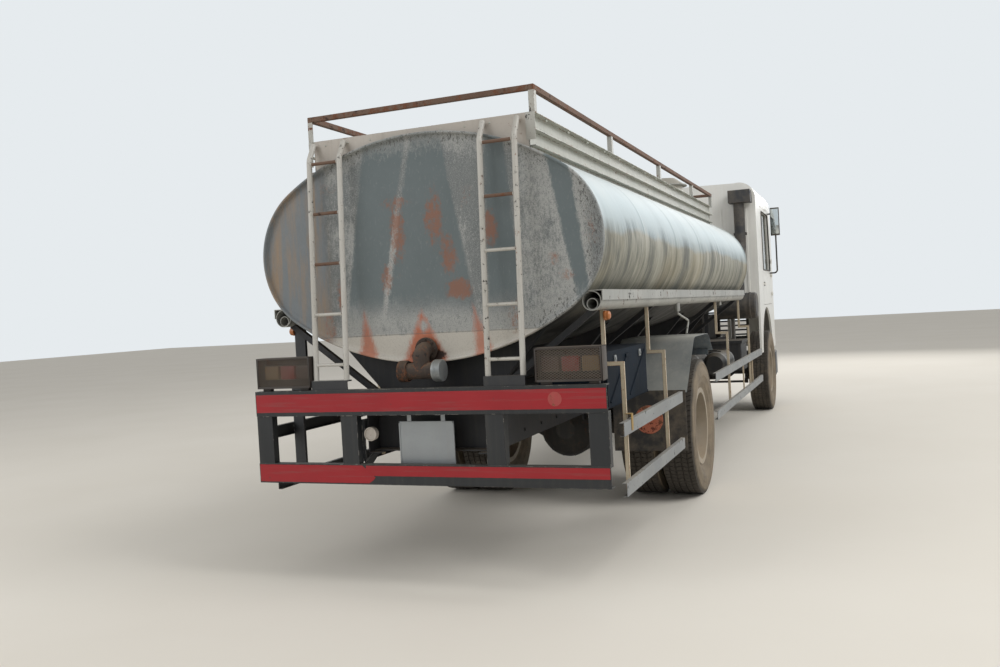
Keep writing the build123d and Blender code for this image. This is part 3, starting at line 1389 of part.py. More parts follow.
for side, hand in (("left", 1), ("right", -1)):
    with BuildPart() as pane:
        x0, x1 = cab_half_width - 34, cab_half_width - 34 + glass_thickness
        side_profile(window, x0, x1)
        mirror(about=Plane.YZ, mode=Mode.REPLACE if hand < 0 else Mode.PRIVATE)
    pane.part.label = f"door_glass_{side}"
    export_step(pane.part, f"parts/door_glass_{side}.step")

with BuildPart() as windscreen:
    add(cab_form(22, cab_skirt_bottom))
    with BuildSketch(Plane.XZ.offset(-cab_front_y - 420)):
        with Locations((0, (cab_waist_z + 40 + cab_screen_top - 60) / 2)):
            RectangleRounded(2 * screen_half, cab_screen_top - 60 - cab_waist_z - 40, 70)
    extrude(amount=500, mode=Mode.INTERSECT)
    add(cab_form(22 + glass_thickness, cab_skirt_bottom), mode=Mode.SUBTRACT)
windscreen.part.label = "windscreen"
export_step(windscreen.part, "parts/windscreen.step")

# Grille: a framed panel of level bars in the cab's nose
with BuildPart() as grille:
    grille_face = cab_front_y - 8
    with BuildSketch(Plane.XZ.offset(-grille_face - 40)):
        with Locations((0, (grille_bottom + grille_top) / 2)):
            RectangleRounded(2 * grille_half_width, grille_top - grille_bottom, 40)
            RectangleRounded(
                2 * grille_half_width - 90, grille_top - grille_bottom - 90, 20, mode=Mode.SUBTRACT,
            )
    extrude(amount=40)
    bar_z = grille_bottom + 60
    while bar_z < grille_top - 60:
        block(
            -grille_half_width + 40, grille_half_width - 40, grille_face + 6, grille_face + 30,
            bar_z, bar_z + grille_bar,
        )
        bar_z += grille_pitch
grille.part.label = "grille"
export_step(grille.part, "parts/grille.step")

# Front bumper: a deep box across the frame's nose, with headlamps and a tow eye
bumper_front_y = front_y
bumper_rear_y = front_y + front_bumper_depth
lamp_x = cab_half_width - 310
lamp_width, lamp_height = 400, 170
lamp_z = 700
with BuildPart() as front_bumper:
    block(-step_outer_x, step_outer_x, bumper_front_y, bumper_rear_y, front_bumper_bottom, front_bumper_top)
    fillet(front_bumper.edges().filter_by(Axis.Z).group_by(Axis.Y)[0], 90)
    fillet(front_bumper.edges().filter_by(Axis.X).group_by(Axis.Y)[0], 30)
    block(
        -step_outer_x + 40, step_outer_x - 40, bumper_front_y + 40, bumper_rear_y + 1,
        front_bumper_bottom - 1, front_bumper_top - 12, mode=Mode.SUBTRACT,
    )
    for side in (-1, 1):
        block(
            side * (lamp_x - lamp_width / 2), side * (lamp_x + lamp_width / 2),
            bumper_front_y - 1, bumper_front_y + 60, lamp_z - lamp_height / 2, lamp_z + lamp_height / 2,
            mode=Mode.SUBTRACT,
        )
        for low in (front_bumper_bottom, front_bumper_top - 30):
            high = low + 20
            block(side * step_inner_x, side * step_outer_x, bumper_rear_y - 20, step_rear_y, low, high)
        block(
            side * step_inner_x, side * (step_inner_x + 6), bumper_rear_y - 20, step_rear_y,
            front_bumper_bottom, front_bumper_top - 10,
        )
        block(
            side * step_inner_x, side * step_outer_x, step_rear_y - 6, step_rear_y,
            front_bumper_bottom, front_bumper_top - 10,
        )
    block(
        -tow_half, tow_half, bumper_front_y - 1, bumper_front_y + 60,
        front_bumper_bottom - 1, tow_bar_low + 2 * tow_plate + tow_gap + 20, mode=Mode.SUBTRACT,
    )
    block(
        -frame_half_width - 20, frame_half_width + 20, frame_front_y, bumper_rear_y + 1,
        front_bumper_top - 20, front_bumper_top + 1, mode=Mode.SUBTRACT,
    )
front_bumper.part.label = "front_bumper"
export_step(front_bumper.part, "parts/front_bumper.step")

with BuildPart() as headlamps:
    for side in (-1, 1):
        block(
            side * (lamp_x - lamp_width / 2), side * (lamp_x + lamp_width / 2),
            bumper_front_y + 6, bumper_front_y + 90, lamp_z - lamp_height / 2, lamp_z + lamp_height / 2,
        )
headlamps.part.label = "headlamps"
export_step(headlamps.part, "parts/headlamps.step")


# Mirrors: housings on tube arms from each door
mirror_y = door_front_y + 175
mirror_x = cab_half_width + 120
mirror_size = (140, 70, 440)
mirror_low = 2690
mirror_tube = 12
mirror_arm_low, mirror_arm_high = 2095, 3040


def door_mirror(hand):
    """A tall mirror housing on a bent tube, fixed to the door above and below its window."""
    tube_y = mirror_y - mirror_size[1] / 2 - 8
    with BuildPart() as piece:
        with BuildLine() as arm:
            FilletPolyline(
                (cab_half_width, tube_y, mirror_arm_low), (mirror_x, tube_y, mirror_arm_low),
                (mirror_x, tube_y, mirror_arm_high), (cab_half_width, tube_y, mirror_arm_high),
                radius=50,
            )
        with BuildSketch(Plane(arm.line @ 0, z_dir=arm.line % 0)):
            Circle(mirror_tube)
        sweep()
        with BuildSketch(Plane.XY.offset(mirror_low)):
            with Locations((mirror_x, mirror_y)):
                RectangleRounded(mirror_size[0], mirror_size[1], 28)
        extrude(amount=mirror_size[2])
        mirror(about=Plane.YZ, mode=Mode.REPLACE if hand < 0 else Mode.PRIVATE)
    return piece.part


mirror_left = door_mirror(1)
mirror_left.label = "mirror_left"
export_step(mirror_left, "parts/mirror_left.step")
mirror_right = door_mirror(-1)
mirror_right.label = "mirror_right"
export_step(mirror_right, "parts/mirror_right.step")

# Seats: cushion, back and headrest on a box base
seat_x = 540
seat_half_width = 245
seat_base_half_width = 190
seat_base_height = 300
floor_top = cab_floor_z + cab_wall
with BuildPart() as seats:
    seat_front_y = door_rear_y - 620
    outline = [
        (seat_front_y, floor_top + seat_base_height), (seat_front_y, floor_top + 450),
        (seat_front_y + 420, floor_top + 430),
        (seat_front_y + 560, floor_top + 1130), (seat_front_y + 660, floor_top + 1110),
        (seat_front_y + 560, floor_top + seat_base_height),
    ]
    for x in (-seat_x, seat_x):
        side_profile(outline, x - seat_half_width, x + seat_half_width)
    chamfer(seats.edges().filter_by(GeomType.LINE), 20)
    for x in (-seat_x, seat_x):
        block(
            x - seat_base_half_width, x + seat_base_half_width, seat_front_y + 60, seat_front_y + 500,
            floor_top, floor_top + seat_base_height + 2,
        )
seats.part.label = "seats"
export_step(seats.part, "parts/seats.step")

# Dashboard: a sloped console under the windscreen, with the steering column and wheel on the left
wheel_tilt = 62
steering_wheel_radius, steering_rim = 240, 26
column_length = 330
with BuildPart() as dashboard:
    dash_front = cab_front_y + cab_wall
    outline = [
        (dash_front, floor_top + 250), (dash_front, cab_waist_z - 10), (dash_front + 250, cab_waist_z + 10),
        (dash_front + 330, cab_waist_z - 60), (dash_front + 330, cab_waist_z - 230),
        (dash_front + 150, floor_top + 250),
    ]
    side_profile(outline, -cab_half_width + 160, cab_half_width - 160)
    column_foot = (seat_x, dash_front + 250, cab_waist_z - 190)
    with Locations(Location(column_foot, (-wheel_tilt + 30, 0, 0))):
        Cylinder(38, column_length, align=(Align.CENTER, Align.CENTER, Align.MIN))
        with Locations((0, 0, column_length)):
            Cylinder(steering_wheel_radius, steering_rim)
            Cylinder(steering_wheel_radius - steering_rim, steering_rim, mode=Mode.SUBTRACT)
            Cylinder(60, 30)
            for turn in (0, 120, 240):
                with Locations(Location((0, 0, 0), (0, 0, turn))):
                    with Locations((115, 0, 0)):
                        Box(220, 34, 14)
dashboard.part.label = "dashboard"
export_step(dashboard.part, "parts/dashboard.step")

# Exhaust: silencer under the left rail behind the cab, with its tail pipe
silencer_y = front_axle_y + 1900
silencer_x, silencer_z = 700, 880
silencer_radius, silencer_length = 150, 700
tail_radius, tail_end_x = 45, 1200
with BuildPart() as exhaust:
    with Locations(Location((silencer_x, silencer_y, silencer_z), (90, 0, 0))):
        Cylinder(silencer_radius, silencer_length)
    chamfer(exhaust.edges().filter_by(GeomType.CIRCLE), 24)
    with Locations(Location(((silencer_x + 100 + tail_end_x) / 2, silencer_y + 200, silencer_z), (0, 90, 0))):
        Cylinder(tail_radius, tail_end_x - silencer_x - 100)
    hanger_low = silencer_z + silencer_radius - 30
    for y in (silencer_y - 220, silencer_y + 200):
        block(frame_half_width, silencer_x, y, y + hanger_flat, hanger_low, hanger_low + 40)
exhaust.part.label = "exhaust"
export_step(exhaust.part, "parts/exhaust.step")
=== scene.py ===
"""Looks of a two-axle water tanker lorry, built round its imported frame. Metres; +Z up, nose to -Y."""

import json
from math import atan2, cos, hypot, pi, radians, sin, sqrt, tan

import bmesh
import bpy
from mathutils import Matrix, Vector, noise

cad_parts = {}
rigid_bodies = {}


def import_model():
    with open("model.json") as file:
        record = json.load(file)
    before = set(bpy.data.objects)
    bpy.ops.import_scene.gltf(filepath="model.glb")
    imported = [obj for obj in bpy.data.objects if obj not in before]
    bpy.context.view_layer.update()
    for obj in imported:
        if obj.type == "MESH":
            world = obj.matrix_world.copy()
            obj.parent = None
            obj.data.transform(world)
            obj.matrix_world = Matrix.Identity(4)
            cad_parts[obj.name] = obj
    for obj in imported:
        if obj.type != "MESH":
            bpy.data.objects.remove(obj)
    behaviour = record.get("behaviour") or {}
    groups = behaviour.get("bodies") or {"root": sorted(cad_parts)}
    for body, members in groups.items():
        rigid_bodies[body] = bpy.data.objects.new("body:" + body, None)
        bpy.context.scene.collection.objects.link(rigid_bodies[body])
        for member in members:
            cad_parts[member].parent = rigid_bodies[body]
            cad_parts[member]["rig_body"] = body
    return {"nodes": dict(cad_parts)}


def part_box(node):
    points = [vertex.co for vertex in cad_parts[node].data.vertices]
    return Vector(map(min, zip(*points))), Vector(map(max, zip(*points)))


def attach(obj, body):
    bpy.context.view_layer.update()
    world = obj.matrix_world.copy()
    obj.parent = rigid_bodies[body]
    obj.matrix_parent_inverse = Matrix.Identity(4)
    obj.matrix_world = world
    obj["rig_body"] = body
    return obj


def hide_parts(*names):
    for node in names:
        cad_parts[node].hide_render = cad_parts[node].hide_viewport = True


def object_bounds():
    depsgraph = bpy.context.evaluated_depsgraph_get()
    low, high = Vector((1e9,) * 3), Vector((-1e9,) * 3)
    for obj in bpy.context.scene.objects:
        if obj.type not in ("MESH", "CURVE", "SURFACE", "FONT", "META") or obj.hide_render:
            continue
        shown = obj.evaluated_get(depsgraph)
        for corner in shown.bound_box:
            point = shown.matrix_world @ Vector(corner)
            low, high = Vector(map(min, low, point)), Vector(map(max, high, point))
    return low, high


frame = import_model()
solid_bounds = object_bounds()
nodes = frame["nodes"]
rear_y = solid_bounds[1].y

# Camera: the view from behind on the lorry's right, at a standing person's eye height, held a little
# crooked. Its place and angles were solved from the object's straight lines.
image_width = 1000
focal_pixels = 920.4
sensor_mm = 36
camera_place = Vector((-2.645, 10.569, 1.72))
yaw, pitch, roll = radians(21.855), radians(-1.36), radians(-3.218)
ahead = Vector((sin(yaw) * cos(pitch), -cos(yaw) * cos(pitch), sin(pitch)))
level_right = ahead.cross(Vector((0, 0, 1))).normalized()
level_up = level_right.cross(ahead)
view_right = level_right * cos(roll) + level_up * sin(roll)
view_up = level_up * cos(roll) - level_right * sin(roll)
camera = bpy.data.objects.new("camera", bpy.data.cameras.new("camera"))
camera.data.sensor_width = sensor_mm
camera.data.lens = sensor_mm * focal_pixels / image_width
camera.data.clip_end = 200
camera.matrix_world = Matrix.Translation(camera_place) @ Matrix(
    (view_right, view_up, -ahead)).transposed().to_4x4()
bpy.context.scene.collection.objects.link(camera)
bpy.context.scene.camera = camera
bpy.context.scene.view_settings.view_transform = "Standard"


def linear(hex_colour):
    """An sRGB hex colour as the linear numbers that a socket takes."""
    parts = [int(hex_colour[i:i + 2], 16) / 255 for i in (1, 3, 5)]
    return (*(c / 12.92 if c <= 0.04045 else ((c + 0.055) / 1.055) ** 2.4 for c in parts), 1)


# The inputs that plain values fill in turn, on the nodes where these aren't simply the first ones
usual_inputs = {
    "Mix": (0, 6, 7),
    "TexNoise": ("Vector", "Scale", "Detail", "Roughness"),
    "TexWave": ("Vector", "Scale"),
    "Mapping": ("Vector", "Scale"),
    "Bump": ("Height", "Strength", "Distance"),
    "BsdfPrincipled": ("Base Color", "Roughness", "Normal"),
}


def node_adder(tree):
    """Clears a node tree, and gives the one function that adds a node to it."""
    tree.nodes.clear()

    def add(kind, *values, out=0, **named):
        """Adds a node with its settings and links, and gives its output. Values fill its usual inputs in turn;
        names with a capital are further inputs, the others are settings. Hex colours are turned to linear."""
        made = tree.nodes.new("ShaderNode" + kind)
        if kind == "Mix":
            made.data_type, out = "RGBA", 2
        filled = dict(zip(usual_inputs.get(kind, range(len(values))), values))
        for name, value in named.items():
            if name[0].isupper():
                filled[name.replace("_", " ")] = value
            else:
                setattr(made, name, value)
        for socket, value in filled.items():
            if isinstance(value, bpy.types.NodeSocket):
                tree.links.new(value, made.inputs[socket])
            else:
                made.inputs[socket].default_value = linear(value) if isinstance(value, str) else value
        return made.outputs[out] if made.outputs else None

    return add


def blank_material(name):
    """A new material without nodes, and the function that adds them."""
    made = bpy.data.materials.new(name)
    made.use_nodes = True
    return made, node_adder(made.node_tree)


# Studio: a pale floor under a plain pale background, one large soft key lamp from the sunny side,
# weaker fills from behind and in front, and the white room itself.
floor_colour, swept_colour, backdrop_colour = "#d9d3c7", "#e3ded4", "#e6ebee"
floor_half = 60
room_light = 0.5
lamp_size = 8
lamps = {"key": ((-11, 5, 12), 1250), "fill": ((8, 13, 8), 520), "front": ((-3, -15, 8), 620)}
lamps_aim = Vector((0, 1, 1.5))
bm = bmesh.new()
bmesh.ops.create_grid(bm, x_segments=1, y_segments=1, size=floor_half)
floor_mesh = bpy.data.meshes.new("floor")
bm.to_mesh(floor_mesh)
bm.free()
floor = bpy.data.objects.new("floor", floor_mesh)
bpy.context.scene.collection.objects.link(floor)
floor_finish, add = blank_material("swept_pale_ground")
place = add("TexCoord", out="Object")
swept = add("TexNoise", place, 0.5, 6.0)
shade = add("Mix", swept, floor_colour, swept_colour)
lit = add("BsdfPrincipled", shade, 0.9)
add("OutputMaterial", lit)
floor_mesh.materials.append(floor_finish)

world = bpy.data.worlds.new("studio")
world.use_nodes = True
add = node_adder(world.node_tree)
rays = add("LightPath").node.outputs
seen = add("Math", rays["Is Camera Ray"], rays["Is Glossy Ray"], operation="MAXIMUM")
seen = add("Math", seen, rays["Is Transmission Ray"], operation="MAXIMUM")
room = add("Background", (1, 1, 1, 1), room_light)
backdrop = add("Background", backdrop_colour, 1.0)
shown = add("MixShader", seen, room, backdrop)
add("OutputWorld", shown)
bpy.context.scene.world = world
for name, (spot, watts) in lamps.items():
    lamp = bpy.data.objects.new(name, bpy.data.lights.new(name, "AREA"))
    lamp.data.size = lamp_size
    lamp.data.energy = watts
    lamp.location = spot
    lamp.rotation_mode = "QUATERNION"
    lamp.rotation_quaternion = (Vector(spot) - lamps_aim).to_track_quat("Z", "Y")
    bpy.context.scene.collection.objects.link(lamp)


# Tank: a barrel of rolled mild steel sheet, butt welded round its girth, with a rim rolled over each
# slightly dished head. The white enamel has chalked and washed off to its grey primer; the rear head
# was rubbed down in fan-shaped swathes, and rust bleeds through low down over the outlet.
tank_low, tank_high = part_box("tank_barrel")
tank_half_width = tank_high.x
tank_half_height = 0.738
tank_centre_z = tank_low.z + tank_half_height
tank_rear_y, tank_front_y = tank_high.y, tank_low.y
barrel_inset = 0.008
head_depth = 0.030
oval_steps = 192
girth_steps = 66
sheet_count = 6
seam_section = ((-0.006, 0.0), (-0.003, 0.0008), (0.0, 0.0012), (0.003, 0.0008), (0.006, 0.0))
dent_depth = 0.0035


def painted_steel(name, paint, faded, bare, rust, dust, chip_at=0.66, rust_at=0.5, dusty=0.35, runs=0.12,
                  gloss=0.45, chip_scale=24, edge_wear=0.14, metal=0.0, shine=0.5):
    """Brushed enamel on rolled steel: chalked in clouds, dirtied in runs, chipped to its primer and rusted in
    the chips and along worn edges. chip_at is the grain level above which the paint is gone, and chip_scale
    the chips to a metre. Clouds are 600 mm across, runs 40 by 770 mm, rust 140 mm, the fine grain 6 mm."""
    finish, add = blank_material(name)
    place = add("TexCoord", out="Object")
    clouds = add("TexNoise", place, 1.7, 6.0, 0.62)
    cloud_share = add("MapRange", clouds, 0.36, 0.64)
    coat = add("Mix", cloud_share, paint, faded)
    fine = add("TexNoise", place, 160.0, 3.0)
    fine_share = add("MapRange", fine, 0.3, 0.75, 0.0, 0.35)
    coat = add("Mix", fine_share, coat, faded)
    hanging = add("Mapping", place, (26, 26, 1.3))
    drips = add("TexNoise", hanging, 1.0, 5.0, 0.6)
    drip_share = add("MapRange", drips, 0.48, 0.72, 0.0, runs)
    coat = add("Mix", drip_share, coat, dust)
    edge = add("Attribute", attribute_name="edge", out="Fac")
    grain = add("TexNoise", place, chip_scale, 9.0, 0.72)
    patches = add("MapRange", clouds, 0.35, 0.7, -0.05, 0.05)
    worn = add("Math", edge, edge_wear, grain, operation="MULTIPLY_ADD")
    worn = add("Math", worn, patches, operation="ADD")
    chips = add("MapRange", worn, chip_at, chip_at + 0.02)
    halo = add("MapRange", worn, chip_at - 0.07, chip_at, 0.0, 0.35)
    blotches = add("TexNoise", place, 7.0, 7.0, 0.7)
    rusted = add("MapRange", blotches, rust_at - 0.04, rust_at + 0.04)
    stain = add("Math", halo, rusted, operation="MULTIPLY")
    coat = add("Mix", stain, coat, rust)
    below = add("Mix", rusted, bare, rust)
    colour = add("Mix", chips, coat, below)
    facing = add("SeparateXYZ", add("NewGeometry", out="Normal"), out=2)
    settled = add("MapRange", facing, 0.25, 0.95, 0.0, dusty)
    settled = add("Math", settled, cloud_share, settled, operation="MULTIPLY_ADD")
    colour = add("Mix", settled, colour, dust)
    matt = add("Math", chips, settled, operation="MAXIMUM")
    rough = add("MapRange", matt, 0.0, 1.0, gloss, 0.85)
    height = add("Math", chips, -0.7, fine, operation="MULTIPLY_ADD")
    relief = add("Bump", height, 0.35, 0.0012)
    lit = add("BsdfPrincipled", colour, rough, relief, Metallic=metal, Specular_IOR_Level=shine)
    add("OutputMaterial", lit)
    return finish


def tank_flank_enamel():
    """White alkyd enamel on the barrel: chalky crown, a pale blue band round its middle painted in as a
    reflection of the sky, dirty rubbed runs below it, and painted shade below the tray.
    """
    finish, add = blank_material("chalked_white_enamel")
    place = add("TexCoord", out="Object")
    parts = add("SeparateXYZ", place).node.outputs
    clouds = add("TexNoise", place, 1.1, 7.0, 0.6)
    bent_z = add("Math", clouds, 0.22, parts[2], operation="MULTIPLY_ADD")
    bands = add("ValToRGB", add("MapRange", bent_z, 1.5, 3.0))
    ramp = bands.node.color_ramp
    # Tones up the flank, darker towards the bottom; the pale blue stops round the middle are a painted
    # reflection of the sky.
    flank_tones_and_sky_band = ((0.0, "#494843"), (0.20, "#69685f"), (0.36, "#828174"), (0.52, "#8e8c7e"), (0.545, "#919fa3"),
              (0.66, "#a3b3b7"), (0.76, "#b1bcbd"), (0.88, "#b9bebb"), (1.0, "#bcbcb4"))
    while len(ramp.elements) < len(flank_tones_and_sky_band):
        ramp.elements.new(0.5)
    for stop, (at, colour) in zip(ramp.elements, flank_tones_and_sky_band):
        stop.position = at
        stop.color = linear(colour)
    lower = add("MapRange", bent_z, 2.40, 2.28, 0.10, 1.0)
    hanging = add("Mapping", place, (0.9, 3.4, 0.9))
    patches = add("TexNoise", hanging, 1.0, 6.0, 0.6)
    hanging = add("Mapping", place, (4.0, 30, 4.0))
    runs = add("TexNoise", hanging, 1.0, 10.0, 0.75)
    soiled = add("Math", patches, 1.5, runs, operation="MULTIPLY_ADD")
    dark = add("MapRange", soiled, 1.20, 1.45, 0.0, 0.85)
    dark = add("Math", dark, lower, operation="MULTIPLY")
    colour = add("Mix", dark, bands, "#4a4d4a")
    pale = add("MapRange", soiled, 1.20, 0.98, 0.0, 0.8)
    pale = add("Math", pale, lower, operation="MULTIPLY")
    colour = add("Mix", pale, colour, "#aca89b")
    ochre = add("MapRange", clouds, 0.5, 0.68, 0.0, 0.35)
    ochre = add("Math", ochre, lower, operation="MULTIPLY")
    colour = add("Mix", ochre, colour, "#94855f")
    # Painted shade: the flank goes nearly black below the tray, where the tray's shadow falls.
    painted_shade_under_tray = add("MapRange", bent_z, 1.90, 1.78, 0.0, 0.90)
    colour = add("Mix", painted_shade_under_tray, colour, "#2b2a28")
    specks = add("TexNoise", place, 30.0, 9.0, 0.75)
    chips = add("MapRange", specks, 0.675, 0.70)
    colour = add("Mix", chips, colour, "#5c4a3d")
    rough = add("MapRange", dark, 0.0, 0.7, 0.50, 0.66)
    height = add("Math", chips, -1.0, specks, operation="MULTIPLY_ADD")
    relief = add("Bump", height, 0.25, 0.001)
    lit = add("BsdfPrincipled", colour, rough, relief)
    add("OutputMaterial", lit)
    return finish


# Rust fans over the foot: x and z of the tip, x of the foot's middle and half width there, strength
rust_fans = (
    (0.03, 1.775, 0.015, 0.165, 1.0),
    (0.45, 1.79, 0.43, 0.085, 0.85),
    (-0.33, 1.80, -0.41, 0.080, 0.8),
)
fan_foot_z = 1.43
head_seam_z = 1.607
# Swathes rubbed down to primer on the rear head. Each side of one is a line down it, given as its x at
# the top height and its x at the low height: the left side's two, then the right side's two.
swathe_top_z, swathe_low_z = 2.80, 1.95
swathes = (
    (0.40, 0.54, 0.09, 0.27),
    (0.06, 0.235, -0.18, -0.325),
    (-0.47, -0.45, -0.60, -0.66),
    (-0.84, -0.99, -0.99, -1.09),
)
wear_kinds = ("pale", "rusting", "cream", "spot", "side", "rim", "burnt")


def tank_head_primer():
    """The heads: thin white enamel over grey primer, rubbed through in swathes, with rust bleeding through.
    The attributes in wear_kinds say how much of each there is."""
    finish, add = blank_material("rubbed_enamel_over_grey_primer")
    place = add("TexCoord", out="Object")
    parts = add("SeparateXYZ", place).node.outputs
    worn = {name: add("Attribute", attribute_name=name, out="Fac") for name in wear_kinds}
    clouds = add("TexNoise", place, 3.4, 9.0, 0.7)
    rubbed = add("Mapping", place, (60, 60, 26))
    grain = add("TexNoise", rubbed, 1.0, 12.0, 0.8)
    specks = add("TexNoise", place, 170.0, 5.0, 0.7)
    fall = add("MapRange", parts[2], swathe_top_z, swathe_low_z, 0.0, 1.0, clamp=False)
    feather = add("MapRange", grain, 0.3, 0.7, -0.022, 0.022)
    inside = None
    for left_top, left_low, right_top, right_low in swathes:
        left = add("Math", fall, left_low - left_top, left_top, operation="MULTIPLY_ADD")
        right = add("Math", fall, right_low - right_top, right_top, operation="MULTIPLY_ADD")
        from_left = add("Math", left, parts[0], operation="SUBTRACT")
        from_right = add("Math", parts[0], right, operation="SUBTRACT")
        depth = add("Math", from_left, from_right, operation="MINIMUM")
        inside = depth if inside is None else add("Math", inside, depth, operation="MAXIMUM")
    ragged = add("Math", inside, feather, operation="ADD")
    swathe = add("MapRange", ragged, -0.006, 0.010)
    ended = add("Math", feather, 4.0, parts[2], operation="MULTIPLY_ADD")
    begun = add("MapRange", ended, 2.86, 2.76, 0.25, 1.0)
    ended = add("MapRange", ended, 1.70, 1.86)
    swathe = add("Math", swathe, ended, operation="MULTIPLY")
    swathe = add("Math", swathe, begun, operation="MULTIPLY")
    beside = add("MapRange", ragged, -0.055, -0.010, 0.0, 0.10)
    low_down = add("MapRange", parts[2], 2.50, 2.25, 0.0, 1.0)
    beside = add("Math", beside, low_down, operation="MULTIPLY")
    base = add("Mix", clouds, "#646a6b", "#7e8180")
    light = add("Math", clouds, 0.55, grain, operation="MULTIPLY_ADD")
    light = add("Math", worn["pale"], 0.16, light, operation="MULTIPLY_ADD")
    light = add("Math", light, beside, operation="ADD")
    light = add("Math", worn["rim"], 0.10, light, operation="MULTIPLY_ADD")
    light = add("MapRange", light, 0.83, 1.00, 0.0, 0.85)
    colour = add("Mix", light, base, "#a3a4a1")
    dotted = add("MapRange", specks, 0.53, 0.63, 0.0, 0.55)
    colour = add("Mix", dotted, colour, "#b6b6b2")
    pitted = add("MapRange", specks, 0.45, 0.37, 0.0, 0.55)
    colour = add("Mix", pitted, colour, "#4b4e4f")
    rimmed = add("Math", worn["rim"], 0.22, grain, operation="MULTIPLY_ADD")
    flaked = add("MapRange", rimmed, 0.735, 0.775, 0.0, 0.85)
    colour = add("Mix", flaked, colour, "#3c3c3b")
    smooth = add("Mix", clouds, "#5d6769", "#6d7678")
    scuffed = add("MapRange", grain, 0.56, 0.70, 0.0, 0.6)
    smooth = add("Mix", scuffed, smooth, "#8d9191")
    colour = add("Mix", swathe, colour, smooth)
    cream_at = add("Math", worn["cream"], 0.5, grain, operation="MULTIPLY_ADD")
    creamed = add("MapRange", cream_at, 0.66, 0.84, 0.0, 0.9)
    cream = add("Mix", pitted, "#bfbab0", "#8f8a82")
    colour = add("Mix", creamed, colour, cream)
    hanging = add("Mapping", place, (12, 12, 1.4))
    runs = add("TexNoise", hanging, 1.0, 8.0, 0.66)
    streaks = add("MapRange", runs, 0.44, 0.66)
    stained = add("Mix", streaks, "#70767a", "#8f7a63")
    share = add("Math", worn["side"], 0.9, operation="MULTIPLY")
    colour = add("Mix", share, colour, stained)
    ragged_rust = add("TexNoise", place, 16.0, 10.0, 0.78)
    blotches = add("Math", ragged_rust, 1.1, grain, operation="MULTIPLY_ADD")
    blotches = add("Math", blotches, 0.30, operation="SUBTRACT")
    rust_at = add("Math", worn["rusting"], 0.45, blotches, operation="MULTIPLY_ADD")
    rusted = add("MapRange", rust_at, 0.88, 1.10, 0.0, 0.80)
    shown = add("MapRange", worn["rusting"], 0.0, 0.3)
    rusted = add("Math", rusted, shown, operation="MULTIPLY")
    colour = add("Mix", rusted, colour, "#8a5e49")
    for tip_x, tip_z, foot_x, half, strength in rust_fans:
        down = add("MapRange", parts[2], tip_z, fan_foot_z, 0.0, 1.0)
        off = add("Math", down, foot_x - tip_x, tip_x, operation="MULTIPLY_ADD")
        off = add("Math", parts[0], off, operation="SUBTRACT")
        off = add("Math", off, operation="ABSOLUTE")
        fan = add("Math", down, half, feather, operation="MULTIPLY_ADD")
        fan = add("Math", fan, off, operation="SUBTRACT")
        fan = add("MapRange", fan, -0.010, 0.030, 0.0, strength * 0.95)
        begun = add("MapRange", parts[2], tip_z + 0.01, tip_z - 0.05)
        fan = add("Math", fan, begun, operation="MULTIPLY")
        fan = add("Math", fan, worn["spot"], operation="SUBTRACT", use_clamp=True)
        rust = add("Mix", blotches, "#8a4a33", "#b96a48")
        colour = add("Mix", fan, colour, rust)
    from_seam = add("Math", parts[2], head_seam_z, operation="SUBTRACT")
    from_seam = add("Math", from_seam, operation="ABSOLUTE")
    seam = add("MapRange", from_seam, 0.0045, 0.0025, 0.0, 0.45)
    colour = add("Mix", seam, colour, "#5c5954")
    burnt_at = add("Math", worn["burnt"], 0.6, grain, operation="MULTIPLY_ADD")
    scorched = add("MapRange", burnt_at, 0.80, 0.96)
    colour = add("Mix", scorched, colour, "#35241c")
    rough = add("MapRange", swathe, 0.0, 1.0, 0.62, 0.74)
    height = add("Math", light, 0.6, grain, operation="MULTIPLY_ADD")
    relief = add("Bump", height, 0.25, 0.0012)
    lit = add("BsdfPrincipled", colour, rough, relief)
    add("OutputMaterial", lit)
    return finish


def finished(bm, name, finish, body, stands_for=(), smooth=35):
    """Makes a bmesh a piece: closed seams, faces outwards, its finish, its body and what it stands for."""
    bmesh.ops.remove_doubles(bm, verts=bm.verts, dist=0.00002)
    bmesh.ops.recalc_face_normals(bm, faces=bm.faces)
    mesh = bpy.data.meshes.new(name)
    bm.to_mesh(mesh)
    bm.free()
    for material in finish if isinstance(finish, (list, tuple)) else [finish]:
        mesh.materials.append(material)
    mesh.shade_smooth()
    mesh.set_sharp_from_angle(angle=radians(smooth))
    piece = bpy.data.objects.new(name, mesh)
    bpy.context.scene.collection.objects.link(piece)
    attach(piece, body)
    if stands_for:
        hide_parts(*stands_for)
    return piece


def step_between(low, high, value):
    """0 below low, 1 above high, and a smooth rise between them."""
    share = min(1.0, max(0.0, (value - low) / (high - low)))
    return share * share * (3 - 2 * share)


def sheet_wave(at):
    """How far thin sheet stands in or out at a point: shallow dents some 750 mm and 250 mm across."""
    return dent_depth * (noise.noise(at * 1.3) + 0.35 * noise.noise(at * 4.1))


# Rust bleeding through: middle x and z, half width and half height, strength
rust_marks = (
    (-0.10, 2.34, 0.07, 0.18, 0.75), (-0.25, 1.88, 0.09, 0.07, 0.95), (-0.48, 2.25, 0.05, 0.12, 0.9),
    (0.17, 2.26, 0.06, 0.22, 0.7), (-0.19, 2.10, 0.06, 0.13, 0.7), (0.26, 1.98, 0.05, 0.10, 0.6),
    (-0.89, 2.02, 0.04, 0.05, 0.5), (-0.97, 1.93, 0.045, 0.04, 0.5), (-1.12, 2.20, 0.04, 0.12, 0.4),
    (0.72, 1.68, 0.05, 0.13, 0.55), (-0.62, 1.68, 0.05, 0.12, 0.5), (0.17, 2.46, 0.10, 0.05, 0.5),
    (0.62, 1.88, 0.03, 0.12, 0.7), (-0.33, 2.45, 0.06, 0.08, 0.3), (0.66, 2.60, 0.08, 0.05, 0.35),
)


def outside(x, z, middle_x, middle_z, reach_x, reach_z):
    """How far a point lies out from a mark's middle, as a share of the mark's half width and half height."""
    return hypot((x - middle_x) / reach_x, (z - middle_z) / reach_z)


